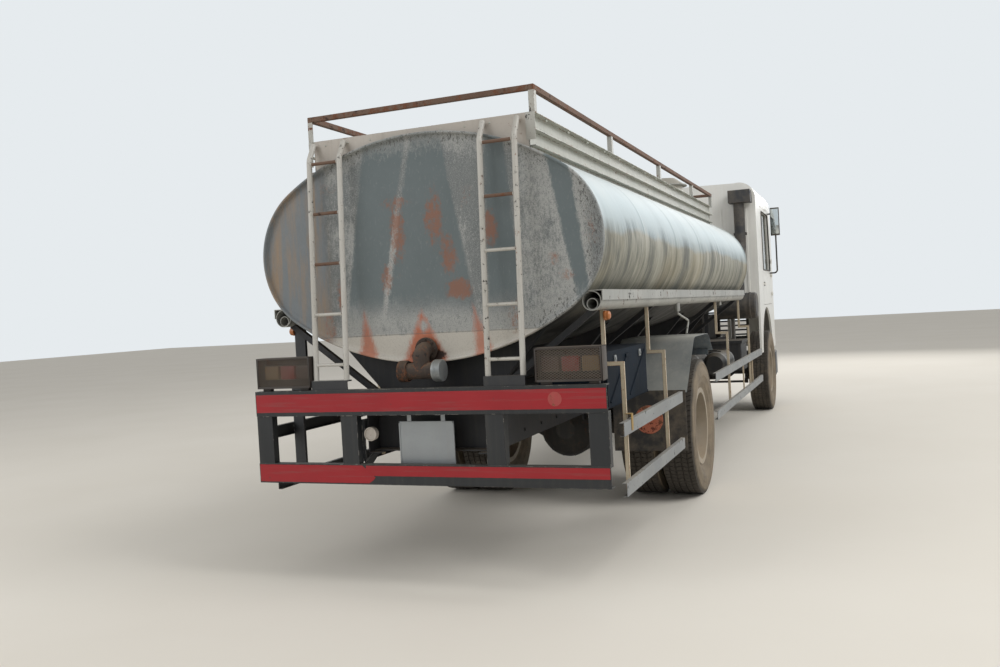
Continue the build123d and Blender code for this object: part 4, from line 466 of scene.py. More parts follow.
def head_wear(x, z, scale):
    """How much of each of wear_kinds there is at a place on the rear head; scale is 1 at its rim."""
    pale = max((1 - step_between(-0.74, -0.62, x)) * step_between(-1.18, -1.0, x),
               step_between(0.14, 0.18, x) * (1 - step_between(0.26, 0.34, x)) * 0.9,
               step_between(0.44, 0.50, x) * 0.55, step_between(2.66, 2.78, z) * 0.6,
               1 - step_between(1.68, 1.84, z))
    rust = max(strength * (1 - step_between(0.35, 1.5, outside(x, z, *mark))) for *mark, strength in rust_marks)
    cream = 1 - step_between(1.590, 1.625, z + 0.004 * noise.noise(Vector((x * 6, 0, z))))
    spot = 1 - step_between(0.6, 1.2, outside(x, z, 0.02, 1.655, 0.028, 0.045))
    burnt = 1 - step_between(0.5, 1.2, outside(x, z, 0.0, 1.465, 0.16, 0.055))
    side, rim = step_between(0.66, 0.74, x), step_between(0.82, 0.97, scale)
    return dict(zip(wear_kinds, (pale, rust, cream, spot, side, rim, burnt)))


# The oval's quarter: a side arc and a flatter crown arc, which meet where their outward angle is oval_turn
side_radius = 0.530
side_centre_x = tank_half_width - side_radius
crown_radius = (side_centre_x ** 2 + tank_half_height ** 2 - side_radius ** 2) / (
    2 * (tank_half_height - side_radius))
crown_drop = crown_radius - tank_half_height
oval_turn = atan2(crown_drop, side_centre_x)
side_run, crown_run = side_radius * oval_turn, crown_radius * (pi / 2 - oval_turn)


def outward_angle(share):
    """The oval's outward angle at a share of the way round it, from its left side over the crown."""
    quarter = int(share * 4) % 4
    along = (share * 4) % 1
    if quarter % 2:
        along = 1 - along
    run = along * (side_run + crown_run)
    angle = run / side_radius if run < side_run else oval_turn + (run - side_run) / crown_radius
    return (angle, pi - angle, pi + angle, 2 * pi - angle)[quarter]


def oval_point(angle, grow, y):
    """The point of the tank's oval with an outward angle, and all of it grown outwards."""
    if abs(sin(angle)) <= sin(oval_turn):
        middle_x, middle_z, radius = side_centre_x * (1 if cos(angle) > 0 else -1), 0.0, side_radius
    else:
        middle_x, middle_z, radius = 0.0, crown_drop * (-1 if sin(angle) > 0 else 1), crown_radius
    out = radius + grow
    return Vector((middle_x + out * cos(angle), y, tank_centre_z + middle_z + out * sin(angle)))


# Rim section at each end: distance in from the end, growth against the rim's own oval
rim_section = (
    (0.052, -0.008), (0.045, -0.007), (0.041, -0.001), (0.036, 0.0), (0.008, 0.0), (0.003, -0.001),
    (0.0, -0.005), (0.001, -0.012), (0.004, -0.016), (0.026, -0.0185), (0.030, -0.024),
)
head_ring_scales = [1 - (i / 44) ** 0.9 for i in range(1, 44)]
girth_margin = 0.06
head_band = 0.034
bm = bmesh.new()
wear_layers = {name: bm.verts.layers.float.new(name) for name in wear_kinds}
barrel_run = tank_rear_y - tank_front_y
rings = [(tank_front_y + girth_margin + i * (barrel_run - 2 * girth_margin) / girth_steps, -barrel_inset)
         for i in range(girth_steps + 1)]
for i in range(1, sheet_count):
    seam_y = tank_front_y + i * barrel_run / sheet_count
    rings += [(seam_y + off, proud - barrel_inset) for off, proud in seam_section]
rings = [(y, grow, 1.0, "barrel") for y, grow in sorted(rings)]
rings = [(tank_front_y + into, grow, 1.0, "rim") for into, grow in reversed(rim_section)] + rings
rings += [(tank_rear_y - into, grow, 1.0, "rim") for into, grow in rim_section]
head_grow = rim_section[-1][1]
rings += [(tank_rear_y - head_depth, head_grow, scale, "head") for scale in head_ring_scales]
rings = [(tank_front_y + head_depth, head_grow, scale, "head") for scale in reversed(head_ring_scales)] + rings
first_ring = bmesh.ops.create_circle(bm, segments=oval_steps, radius=1)["verts"]
loop_edges = list(bm.edges)
all_rings = [first_ring]
for _ in rings[1:]:
    grown = bmesh.ops.extrude_edge_only(bm, edges=loop_edges)["geom"]
    loop_edges = [g for g in grown if isinstance(g, bmesh.types.BMEdge) and g.is_boundary and all(
        v in grown for v in g.verts)]
    all_rings.append([g for g in grown if isinstance(g, bmesh.types.BMVert)])
for (y, grow, scale, part), verts in zip(rings, all_rings):
    for vert in verts:
        angle = outward_angle((atan2(vert.co.y, vert.co.x) / (2 * pi)) % 1)
        out = Vector((cos(angle), 0, sin(angle)))
        at = oval_point(angle, grow, y)
        at.x *= scale
        at.z = tank_centre_z + (at.z - tank_centre_z) * scale
        if part == "head":
            way = 1 if y > 0 else -1
            at.y += way * (0.010 * (1 - scale * scale) + 2.2 * sheet_wave(at) * (1 - scale ** 6))
        if part != "barrel" and y > 0:
            for name, value in head_wear(at.x, at.z, scale).items():
                vert[wear_layers[name]] = value
        if part == "barrel":
            ends = min(1.0, (y - tank_front_y) / 0.3, (tank_rear_y - y) / 0.3)
            at += out * (sheet_wave(at) * ends - dent_depth * 0.6)
        vert.co = at
for end in (all_rings[0], all_rings[-1]):
    cap = bmesh.ops.contextual_create(bm, geom=end)["faces"]
    for vert in end:
        for name, value in head_wear(vert.co.x, vert.co.z, 0.0).items():
            vert[wear_layers[name]] = value
    bmesh.ops.poke(bm, faces=cap)
for face in bm.faces:
    middle_y = face.calc_center_median().y
    face.material_index = int(middle_y > tank_rear_y - head_band or middle_y < tank_front_y + head_band)
finished(bm, "tank_shell", [tank_flank_enamel(), tank_head_primer()], "root", ["tank_barrel"], 50)

# Manhole neck: a rolled steel collar welded into the crown, with two hinge ears on it. Its foot is sunk
# into the sheet.
neck_foot_z, neck_sunk = tank_centre_z + tank_half_height, 0.02
bm = bmesh.new()
bm.from_mesh(nodes["tank_barrel"].data)
bmesh.ops.remove_doubles(bm, verts=bm.verts, dist=1e-5)
shell_faces = [f for f in bm.faces if f.calc_center_median().z < neck_foot_z + 0.03]
bmesh.ops.delete(bm, geom=shell_faces, context="FACES")
bmesh.ops.delete(bm, geom=[v for v in bm.verts if not v.link_faces], context="VERTS")
for vert in bm.verts:
    if vert.co.z < neck_foot_z:
        vert.co.z -= neck_sunk
neck_finish = painted_steel("chipped_neck_enamel", "#bdb9ad", "#cfccc2", "#5a5149", "#7a4c33", "#a39a88")
finished(bm, "manhole_neck", neck_finish, "root", ["tank_barrel"])


# Coaming: folded 6 mm sheet walls along the crown and across its ends, with welded posts; grey-green and
# warm grey enamel over black primer, flaked at the edges and stained by the rusted handrail above.
def refined(node, name, finish, width=0.003, angle=30, segments=2):
    """A CAD piece's copy with its sharp edges rounded; the rounded faces are marked for edge wear."""
    source = nodes[node]
    bm = bmesh.new()
    bm.from_mesh(source.data)
    bmesh.ops.remove_doubles(bm, verts=bm.verts, dist=1e-5)
    bmesh.ops.dissolve_limit(bm, angle_limit=radians(1), verts=bm.verts, edges=bm.edges)
    edge = bm.faces.layers.float.new("edge")
    sharp = [e for e in bm.edges if e.is_manifold and e.calc_face_angle(0) > radians(angle)]
    made = bmesh.ops.bevel(bm, geom=sharp, offset=width, offset_type="OFFSET", segments=segments, profile=0.5,
                           affect="EDGES", material=-1, clamp_overlap=True)
    for face in made["faces"]:
        face[edge] = 1.0
    piece = finished(bm, name, finish, source["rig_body"], [node])
    piece.modifiers.new("even_shading", "WEIGHTED_NORMAL").keep_sharp = True
    return piece


def coated(node, finish):
    """Gives a CAD piece whose shape is right its real finish."""
    for filled in nodes[node].material_slots:
        filled.material = finish


def finish_where(piece, test):
    """Gives a piece its second finish where a face's middle passes the test."""
    for polygon in piece.data.polygons:
        polygon.material_index = int(test(polygon.center))


def standing(at, facing, lift=0.0):
    """Places a shape made along Z on a face, out of it by lift."""
    at, facing = Vector(at), Vector(facing)
    return Matrix.Translation(at + facing * lift) @ facing.to_track_quat("Z", "Y").to_matrix().to_4x4()


def rivet(bm, at, facing, radius=0.009, tall=0.005):
    """A domed rivet head standing on a face."""
    bmesh.ops.create_cone(bm, cap_ends=True, segments=10, radius1=radius, radius2=radius * 0.55, depth=tall,
                          matrix=standing(at, facing, tall / 2 - 0.0005))


def hex_bolt(bm, at, facing, across, tall):
    """A hexagon bolt head on its washer."""
    for radius, low, high, sides in ((across * 0.85, -0.0005, 0.002, 16), (across * 0.577, 0.002, tall, 6)):
        bmesh.ops.create_cone(bm, cap_ends=True, segments=sides, radius1=radius, radius2=radius,
                              depth=high - low, matrix=standing(at, facing, (low + high) / 2))


def bolt_circle(bm, centre, facing, ring, count, across, tall, first=0.0):
    """Hexagon bolts spaced evenly round a circle; first turns the first one, in steps."""
    axis = next(i for i in range(3) if facing[i])
    for i in range(count):
        turn = 2 * pi * (i + first) / count
        out = [ring * cos(turn), ring * sin(turn)]
        out.insert(axis, 0)
        hex_bolt(bm, Vector(centre) + Vector(out), facing, across, tall)


def turned(bm, profile, centre, along, steps):
    """Turns a profile of (distance along the axis, radius) about the axis through centre."""
    along = Vector(along).normalized()
    side = along.orthogonal().normalized()
    verts = [bm.verts.new(Vector(centre) + along * far + side * radius) for far, radius in profile]
    edges = [bm.edges.new(pair) for pair in zip(verts, verts[1:])]
    bmesh.ops.spin(bm, geom=verts + edges, cent=centre, axis=along, dvec=(0, 0, 0), angle=2 * pi, steps=steps,
                   use_merge=True, use_duplicate=False)


def box(bm, low, high, round_by=0.0, turn=None):
    """A block between two corners, its edges rounded; turn places it about its own middle."""
    low, high = Vector(low), Vector(high)
    middle, size = (low + high) / 2, high - low
    place = Matrix.Translation(middle) @ (turn or Matrix.Identity(4)) @ Matrix.Diagonal((*size, 1))
    verts = bmesh.ops.create_cube(bm, size=1, matrix=place)["verts"]
    if round_by:
        edges = list({e for v in verts for e in v.link_edges})
        bmesh.ops.bevel(bm, geom=edges, offset=round_by, offset_type="OFFSET", segments=2, profile=0.5,
                        affect="EDGES", material=-1)


coaming_enamel = painted_steel("flaked_grey_green_enamel", "#a3a59b", "#b6b7ae", "#33312f", "#7d5238",
                               "#7d796c", chip_at=0.635, runs=0.2, edge_wear=0.13)
end_enamel = painted_steel("flaked_warm_grey_enamel", "#aaa298", "#b8b1a8", "#33312f", "#7d5238", "#8d8475",
                           chip_at=0.655, runs=0.3, edge_wear=0.10)
handrail_rust = painted_steel("rusted_handrail_steel", "#5c4437", "#6e584a", "#3d2c24", "#6b442f", "#84705e",
                              chip_at=0.55, rust_at=0.45, gloss=0.8, dusty=0.15, edge_wear=0.05)
post_enamel = painted_steel("speckled_post_enamel", "#9a9c97", "#b2b0a8", "#34302d", "#6f4732", "#7d796c",
                            chip_at=0.585, rust_at=0.52, edge_wear=0.10)
refined("coaming_sides", "coaming_sides_flaked", coaming_enamel, 0.002)
refined("coaming_ends", "coaming_ends_flaked", end_enamel, 0.002)
refined("handrail_ends", "handrail_ends_rusted", handrail_rust, 0.003)
rails = refined("handrail_sides", "handrail_sides_worn", [post_enamel, handrail_rust], 0.003)
rail_foot_z = 3.062
bm = bmesh.new()
bm.from_mesh(rails.data)
bmesh.ops.bisect_plane(bm, geom=bm.verts[:] + bm.edges[:] + bm.faces[:], plane_co=(0, 0, rail_foot_z),
                       plane_no=(0, 0, 1))
bm.to_mesh(rails.data)
bm.free()
finish_where(rails, lambda at: at.z > rail_foot_z)
coaming_low, coaming_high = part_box("coaming_sides")
side_rivets, rivet_margin, side_rivet_x, side_rivet_z = 15, 0.22, 0.810, 2.905
end_rivets, end_rivet_x, end_rivet_pitch, end_rivet_z = 9, -0.68, 0.17, 2.895
rivet_run = coaming_high.y - coaming_low.y - 2 * rivet_margin
bm = bmesh.new()
for side in (-1, 1):
    for i in range(side_rivets):
        y = coaming_low.y + rivet_margin + i * rivet_run / (side_rivets - 1)
        rivet(bm, (side * side_rivet_x, y, side_rivet_z), (side, 0, 0))
for i in range(end_rivets):
    rivet(bm, (end_rivet_x + i * end_rivet_pitch, coaming_high.y, end_rivet_z), (0, 1, 0), 0.008)
finished(bm, "coaming_rivets", coaming_enamel, "root")
# Flat steel straps over the coaming's rear corners, carrying the corner posts down to the tank's crown
bm = bmesh.new()
for low_x, high_x in ((coaming_low.x, coaming_low.x + 0.062), (coaming_high.x - 0.028, coaming_high.x)):
    box(bm, (low_x, coaming_high.y - 0.001, coaming_low.z + 0.055),
        (high_x, coaming_high.y + 0.003, coaming_high.z), 0.0012)
finished(bm, "coaming_corner_straps", post_enamel, "root")

# Manhole cover: a pressed steel dome with a clamp bar, galvanised and dulled. It turns on a pin through
# the neck's ears, and a ring of bolts stands on it.
lid_steel = painted_steel("weathered_lid_steel", "#8b8b86", "#a3a29b", "#5d5a55", "#7a4f36", "#8f8470",
                          metal=0.3)
refined("manhole_lid", "manhole_cover_pressed", lid_steel, 0.004)
lid_bolts_at = (-0.3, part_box("manhole_lid")[1].y - 0.285, 3.1945)
bm = bmesh.new()
bolt_circle(bm, lid_bolts_at, (0, 0, 1), 0.262, 6, 0.024, 0.012, first=0.5)
finished(bm, "manhole_cover_bolts", lid_steel, "manhole_cover")

# Ladders: bent steel tube stiles hooked over the coaming, with rungs welded in; brushed off-white enamel,
# knocked off down to black primer where boots and hands rub, and rusted on the upper rungs.
ladder_enamel = painted_steel("chipped_ladder_enamel", "#c2c0ba", "#b2afa7", "#2b2927", "#7a4a32", "#8f887b",
                              chip_at=0.60, chip_scale=30, rust_at=0.58, runs=0.3, edge_wear=0.1)
black_enamel = painted_steel("scuffed_black_enamel", "#202124", "#2d2e30", "#6f6b64", "#5c4030", "#5f584c",
                             chip_at=0.70, rust_at=0.58, dusty=0.25, gloss=0.5, edge_wear=0.12)
ladder_middles, ladder_half, rung_step = (-0.585, 0.645), 0.115, 0.333
ladder_foot_z, ladder_foot_y, ladder_lean = 1.330, 5.380, 0.04795
rung_heights = [ladder_foot_z + 0.102 + i * rung_step for i in range(5)]
ladders = refined("ladders", "ladders_chipped", [ladder_enamel, handrail_rust, black_enamel],
                  0.001, 60, 1)
for polygon in ladders.data.polygons:
    at = polygon.center
    middle = min(ladder_middles, key=lambda x: abs(at.x - x))
    rusted_from = rung_heights[3] if middle < 0 else rung_heights[2]
    if at.z < ladder_foot_z + 0.001:
        polygon.material_index = 2
    elif at.z > rusted_from - 0.05 and abs(at.x - middle) < ladder_half - 0.019:
        polygon.material_index = 1
bm = bmesh.new()
for x in ladder_middles:
    for rung_z in rung_heights:
        rung_y = ladder_foot_y - ladder_lean * (rung_z - ladder_foot_z)
        for side in (-1, 1):
            at = Vector((x + side * (ladder_half - 0.0175), rung_y, rung_z))
            bmesh.ops.create_cone(bm, cap_ends=True, segments=14, radius1=0.0165, radius2=0.0125, depth=0.007,
                                  matrix=Matrix.Translation(at) @ Matrix.Rotation(-side * pi / 2, 4, "Y"))
finished(bm, "ladder_welds", ladder_enamel, "root")

# Rear bumper: two pressed channels joined by four flat posts, painted dark grey by hand. Red adhesive
# tape runs along both; the lower one has come away in a torn corner.
bumper_enamel = painted_steel("brushed_dark_grey_enamel", "#17191b", "#232527", "#7b7973", "#5c4232",
                              "#5f5a4f", chip_at=0.685, rust_at=0.66, dusty=0.25, gloss=0.5)
bumper = refined("rear_bumper", "rear_bumper_brushed", bumper_enamel, 0.004)
for vert in bumper.data.vertices:
    vert.co.y = min(vert.co.y, rear_y - 0.0016)
tape_finish, add = blank_material("faded_red_tape")
place = add("TexCoord", out="Object")
clouds = add("TexNoise", place, 3.0, 8.0, 0.65)
colour = add("Mix", clouds, "#8a0a15", "#a51420")
rubbed = add("Mapping", place, (2, 30, 50))
rubs = add("TexNoise", rubbed, 1.0, 8.0, 0.7)
rub_share = add("MapRange", rubs, 0.52, 0.66, 0.0, 0.45)
colour = add("Mix", rub_share, colour, "#7f4a47")
nicks = add("TexNoise", place, 38.0, 8.0, 0.7)
nick_share = add("MapRange", nicks, 0.66, 0.69)
colour = add("Mix", nick_share, colour, "#34302f")
relief = add("Bump", clouds, 0.12, 0.002)
lit = add("BsdfPrincipled", colour, 0.42, relief)
add("OutputMaterial", lit)
# Tape strips: low and high x, low and high z. The third one's inner end is torn.
tape_strips = ((-1.219, 1.219, 1.127, 1.247), (-1.219, 0.40, 0.712, 0.778), (0.33, 1.219, 0.664, 0.7785))
tape_front_y, tape_thickness = rear_y - 0.0006, 0.0014
bm = bmesh.new()
for low_x, high_x, low_z, high_z in tape_strips:
    strip = bmesh.ops.create_grid(bm, x_segments=80, y_segments=6, size=0.5)["verts"]
    torn_end = low_x > 0
    for vert in strip:
        along, up = vert.co.x + 0.5, vert.co.y + 0.5
        x = low_x + along * (high_x - low_x)
        if torn_end:
            x += (0.075 * abs(2 * up - 0.7) + 0.02 * noise.noise(Vector((up * 9, 3, 0)))) * (1 - along)
        ragged = 0.0012 * noise.noise(Vector((x * 19, up, low_z * 7)))
        vert.co = (x, tape_front_y + 0.0004 * torn_end, low_z + up * (high_z - low_z) + ragged)
grown = bmesh.ops.extrude_face_region(bm, geom=bm.faces[:], use_keep_orig=True)["geom"]
for vert in grown:
    if isinstance(vert, bmesh.types.BMVert):
        vert.co.y -= tape_thickness
finished(bm, "bumper_tape", tape_finish, "root")
bm = bmesh.new()
turned(bm, ((-0.0010, 0.0), (0.0004, 0.0), (0.0004, 0.038), (0.0006, 0.038), (0.0006, 0.043),
            (-0.0010, 0.043)), (-0.905, tape_front_y, 1.187), (0, 1, 0), 48)
disc_enamel = painted_steel("faded_red_sticker", "#a02a30", "#ab4d49", "#7d1f24", "#7a4a32", "#a08a74",
                            chip_at=0.6, gloss=0.4)
finished(bm, "bumper_blank_disc", disc_enamel, "root")

# Number plate: a blank sheet of pressed aluminium with a bead round its edge, riveted to two straps from
# the upper channel.
plate_aluminium = painted_steel("dull_plate_aluminium", "#8b8e91", "#9b9fa1", "#86888a", "#8b8172", "#9a9080",
                                chip_at=0.72, rust_at=0.8, gloss=0.38, metal=0.55, edge_wear=0.05)
refined("number_plate", "number_plate_blank", plate_aluminium, 0.0015)
plate_face_y, bead_proud = rear_y - 0.097, 0.003
bead_edges = ((-0.194, 0.194, 0.762, 0.770), (-0.194, 0.194, 1.040, 1.048), (-0.194, -0.186, 0.762, 1.048),
              (0.186, 0.194, 0.762, 1.048))
bm = bmesh.new()
for rivet_x in (-0.1764, 0.1764):
    for rivet_z in (0.768, 1.042):
        rivet(bm, (rivet_x, plate_face_y, rivet_z), (0, 1, 0), 0.006, 0.003)
for low_x, high_x, low_z, high_z in bead_edges:
    box(bm, (low_x, plate_face_y, low_z), (high_x, plate_face_y + bead_proud, high_z))
finished(bm, "number_plate_bead", plate_aluminium, "root")

# Lamp cages: open boxes of 5 mm steel sheet on two feet each, browned with old rust, with fronts of
# expanded metal over square moulded lenses. The lenses' ribs are coarser than the real ones, to show.
cage_steel = painted_steel("browned_cage_steel", "#2b2522", "#3b332e", "#6f6860", "#5d3e2e", "#5f5547",
                           chip_at=0.64, rust_at=0.46, runs=0.15, edge_wear=0.16)
mesh_steel = painted_steel("dusty_mesh_steel", "#5f574f", "#746b62", "#463f39", "#6d4832", "#8a7e6e",
                           chip_at=0.60, rust_at=0.50, runs=0.1)
cage_low, cage_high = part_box("lamp_cages")
cage_foot_z, cage_floor_z, cage_roof_z = cage_low.z, 1.287, 1.492
cage_sides = (0.785, 1.205)
foot_in, foot_half, foot_low_y, foot_high_y = 0.060, 0.030, 5.361, 5.399
sheet, lip = 0.005, 0.013
mesh_cell_x, mesh_cell_z, strand, mesh_cells = 0.024, 0.015, 0.0030, 30
for side, name in ((-1, "right"), (1, "left")):
    near, far = sorted(side * x for x in cage_sides)
    bm = bmesh.new()
    box(bm, (near, cage_low.y, cage_floor_z), (far, cage_low.y + sheet, cage_roof_z), 0.0008)
    for low_x, high_x in ((near, near + sheet), (far - sheet, far)):
        box(bm, (low_x, cage_low.y, cage_floor_z), (high_x, cage_high.y, cage_roof_z), 0.0008)
    for low_z in (cage_floor_z, cage_roof_z - sheet):
        box(bm, (near, cage_low.y, low_z), (far, cage_high.y, low_z + sheet), 0.0008)
    for foot_x in (near + foot_in, far - foot_in):
        box(bm, (foot_x - foot_half, foot_low_y, cage_foot_z),
            (foot_x + foot_half, foot_high_y, cage_floor_z + 0.001), 0.0015)
    for low_x, high_x in ((near, near + lip), (far - lip, far)):
        box(bm, (low_x, cage_high.y - 0.003, cage_floor_z), (high_x, cage_high.y, cage_roof_z), 0.0006)
    for low_z in (cage_floor_z, cage_roof_z - lip):
        box(bm, (near, cage_high.y - 0.0031, low_z), (far, cage_high.y - 0.0001, low_z + lip), 0.0006)
    finished(bm, f"lamp_cage_{name}", cage_steel, "root", ["lamp_cages"])
    bm = bmesh.new()
    cells = Matrix.Diagonal((mesh_cell_x / sqrt(2), mesh_cell_z / sqrt(2), 1, 1))
    bmesh.ops.create_grid(bm, x_segments=mesh_cells, y_segments=mesh_cells, size=mesh_cells / 2,
                          matrix=cells @ Matrix.Rotation(pi / 4, 4, "Z"))
    front = Matrix.Translation(((near + far) / 2, cage_high.y - 0.005, (cage_floor_z + cage_roof_z) / 2))
    bmesh.ops.transform(bm, verts=bm.verts, matrix=front @ Matrix.Rotation(pi / 2, 4, "X"))
    for at, facing in (((near + sheet, 0, 0), (-1, 0, 0)), ((far - sheet, 0, 0), (1, 0, 0)),
                       ((0, 0, cage_floor_z + sheet), (0, 0, -1)), ((0, 0, cage_roof_z - sheet), (0, 0, 1))):
        bmesh.ops.bisect_plane(bm, geom=bm.verts[:] + bm.edges[:] + bm.faces[:], plane_co=at, plane_no=facing,
                               clear_outer=True)
    bmesh.ops.wireframe(bm, faces=bm.faces[:], thickness=strand, use_even_offset=True, use_replace=True,
                        use_boundary=True)
    finished(bm, f"cage_mesh_{name}", mesh_steel, "root", smooth=60)


def moulded(name, colour, roughness, dust):
    """Moulded acrylic, plastic or rubber: fine pits, and clouds of settled dust some 200 mm across."""
    finish, add = blank_material(name)
    place = add("TexCoord", out="Object")
    clouds = add("TexNoise", place, 5.0, 8.0, 0.7)
    dusted = add("MapRange", clouds, 0.40, 0.70, 0.0, dust)
    shade = add("Mix", dusted, colour, "#8f8270")
    rough = add("MapRange", clouds, 0.35, 0.7, roughness, roughness + 0.22)
    grit = add("TexNoise", place, 420.0, 2.0)
    relief = add("Bump", grit, 0.12, 0.0005)
    lit = add("BsdfPrincipled", shade, rough, relief, IOR=1.49)
    add("OutputMaterial", lit)
    return finish


lens_red = moulded("ribbed_red_acrylic", "#8a1218", 0.22, 0.35)
lens_dim = moulded("dirtied_brown_acrylic", "#3a1c17", 0.30, 0.45)
lens_ochre = moulded("dirtied_ochre_acrylic", "#7d5d2a", 0.30, 0.5)
lens_amber = moulded("ribbed_amber_acrylic", "#b5692a", 0.22, 0.3)
housing_plastic = moulded("black_moulded_plastic", "#232426", 0.48, 0.4)
lamp_back_y = cage_low.y + sheet
lamp_z, lamp_half_x, lamp_half_z, lamp_depth = 1.3895, 0.059, 0.050, 0.060
lens_ribs, rib_half = 9, 0.0028
lenses = (("tail", 0.869, lens_dim), ("brake", 0.995, lens_red), ("indicator", 1.121, lens_ochre))
for name, x, finish in lenses:
    bm = bmesh.new()
    for side in (-1, 1):
        low_x, high_x = side * x - lamp_half_x, side * x + lamp_half_x
        box(bm, (low_x + 0.004, lamp_back_y + 0.0002, lamp_z - lamp_half_z + 0.004),
            (high_x - 0.004, lamp_back_y + lamp_depth - 0.004, lamp_z + lamp_half_z - 0.004), 0.008)
        for i in range(lens_ribs):
            rib_x = low_x + 0.015 + i * (high_x - low_x - 0.030) / (lens_ribs - 1)
            box(bm, (rib_x - rib_half, lamp_back_y + lamp_depth - 0.006, lamp_z - lamp_half_z + 0.012),
                (rib_x + rib_half, lamp_back_y + lamp_depth - 0.002, lamp_z + lamp_half_z - 0.012), 0.0012)
    finished(bm, name + "_lenses", finish, "root", ["tail_lamps"] if name == "brake" else (), 40)
bm = bmesh.new()
for side in (-1, 1):
    for _, x, _ in lenses:
        box(bm, (side * x - lamp_half_x, lamp_back_y + 0.0001, lamp_z - lamp_half_z),
            (side * x + lamp_half_x, lamp_back_y + 0.018, lamp_z + lamp_half_z), 0.004)
finished(bm, "lamp_bases", housing_plastic, "root")

# Side marker lamps on the rearmost hangers: amber acrylic domes in rubber rings. The working lamp on the
# frame's rear end is a spun steel bowl.
bm = bmesh.new()
for side in (-1, 1):
    turned(bm, ((0.0128, 0.0), (0.0128, 0.030), (0.026, 0.031), (0.028, 0.028), (0.044, 0.027), (0.052, 0.019),
                (0.0545, 0.0)), (1.160 if side > 0 else -1.100, 4.985, 1.660), (side, 0, 0), 32)
finished(bm, "side_marker_lamps", lens_amber, "root")
bm = bmesh.new()
turned(bm, ((0.0004, 0.0), (0.0004, 0.026), (0.020, 0.044), (0.050, 0.046), (0.058, 0.044), (0.058, 0.039),
            (0.050, 0.036), (0.046, 0.0)), (0.380, 5.323, 0.975), (0, 1, 0), 36)
finished(bm, "working_lamp", end_enamel, "root")

# Discharge pipe: a galvanised steel tee under the tank, with a screwed collar on each end and a bolted
# flange. Its left half is stained brown and black.
galvanised = painted_steel("dulled_galvanised_steel", "#858a8c", "#9b9e9e", "#5d5a55", "#6f4b35", "#8d8370",
                           chip_at=0.64, gloss=0.42, metal=0.5, edge_wear=0.1)
scorched_steel = painted_steel("scorched_pipe_steel", "#2b2420", "#3d322b", "#1f1b19", "#6a452f", "#6b5a49",
                               chip_at=0.58, rust_at=0.46, gloss=0.8, runs=0.3)
pipe = refined("discharge_pipe", "discharge_tee", [galvanised, scorched_steel], 0.003)
finish_where(pipe, lambda at: at.x > -0.085)
collar_ridges, ridge_pitch = 6, 0.009
for side, name, collar_steel in ((-1, "right", galvanised), (1, "left", scorched_steel)):
    section = [(0.092, 0.060)]
    for i in range(collar_ridges):
        section += [(far + ridge_pitch * i, radius) for far, radius in (
            (0.097, 0.0665), (0.0995, 0.0695), (0.103, 0.0695), (0.1045, 0.0665))]
    section += [(0.150, 0.0665), (0.1503, 0.060), (0.092, 0.060)]
    bm = bmesh.new()
    turned(bm, section, (0, 5.340, 1.372), (side, 0, 0), 40)
    finished(bm, f"discharge_collar_{name}", collar_steel, "root")
bm = bmesh.new()
turned(bm, ((0.0, 0.052), (0.0, 0.076), (0.010, 0.080), (0.018, 0.076), (0.018, 0.052)), (0, 5.253, 1.502),
       (0, 1, 0), 40)
bolt_circle(bm, (0, 5.271, 1.502), (0, 1, 0), 0.066, 8, 0.013, 0.008)
finished(bm, "discharge_flange", scorched_steel, "root")

# Side trays: folded steel sheet on brackets along both flanks, with a hose tube under each; the lip is
# rubbed through to the black under its grey paint.
tray_enamel = painted_steel("rubbed_tray_enamel", "#898a86", "#a3a39d", "#2f2e2d", "#5e4636", "#6f6a5e",
                            chip_at=0.60, rust_at=0.6, runs=0.3, edge_wear=0.08, chip_scale=14)
refined("side_trays", "side_trays_rubbed", tray_enamel, 0.0015)

# Hangers and side guards: square bar with a step in it, hung from the trays, and Z-section rails bolted
# across the bars.
hanger_enamel = painted_steel("cream_hanger_enamel", "#b5a88f", "#c3b8a2", "#6b4a34", "#80532f", "#8f8169",
                              chip_at=0.62, rust_at=0.48, edge_wear=0.22)
guard_enamel = painted_steel("weathered_guard_enamel", "#717578", "#8a8d8e", "#343434", "#5e4636", "#8f8675",
                             chip_at=0.60, rust_at=0.62, runs=0.2, edge_wear=0.10, chip_scale=16)
hangers = refined("guard_hangers", "guard_hangers_cream", [hanger_enamel, black_enamel],
                  0.002)
finish_where(hangers, lambda at: at.x > 1.08 and at.y > 4.9)
guards = refined("side_guards", "side_guards_weathered", [guard_enamel, bumper_enamel], 0.0012)
finish_where(guards, lambda at: at.x > 0)
strap_enamel = painted_steel("faded_ochre_strap", "#94742f", "#a58a4e", "#5b4a33", "#7a4a32", "#8a7a66")
bm = bmesh.new()
box(bm, (-1.2585, 4.962, 0.940), (-1.2551, 5.008, 1.045), 0.001)
box(bm, (-1.2585, 4.962, 1.0415), (-1.215, 5.008, 1.045), 0.001)
finished(bm, "guard_strap", strap_enamel, "root")
guard_web_x, guard_bolts_y, guard_bolts_z = 1.2248, (4.985, 3.745, 0.395, -1.505), (0.985, 0.951, 0.620, 0.586)
bm = bmesh.new()
for side in (-1, 1):
    for y in guard_bolts_y:
        for z in guard_bolts_z:
            hex_bolt(bm, (side * guard_web_x, y, z), (side, 0, 0), 0.015, 0.006)
finished(bm, "guard_bolts", guard_enamel, "root")

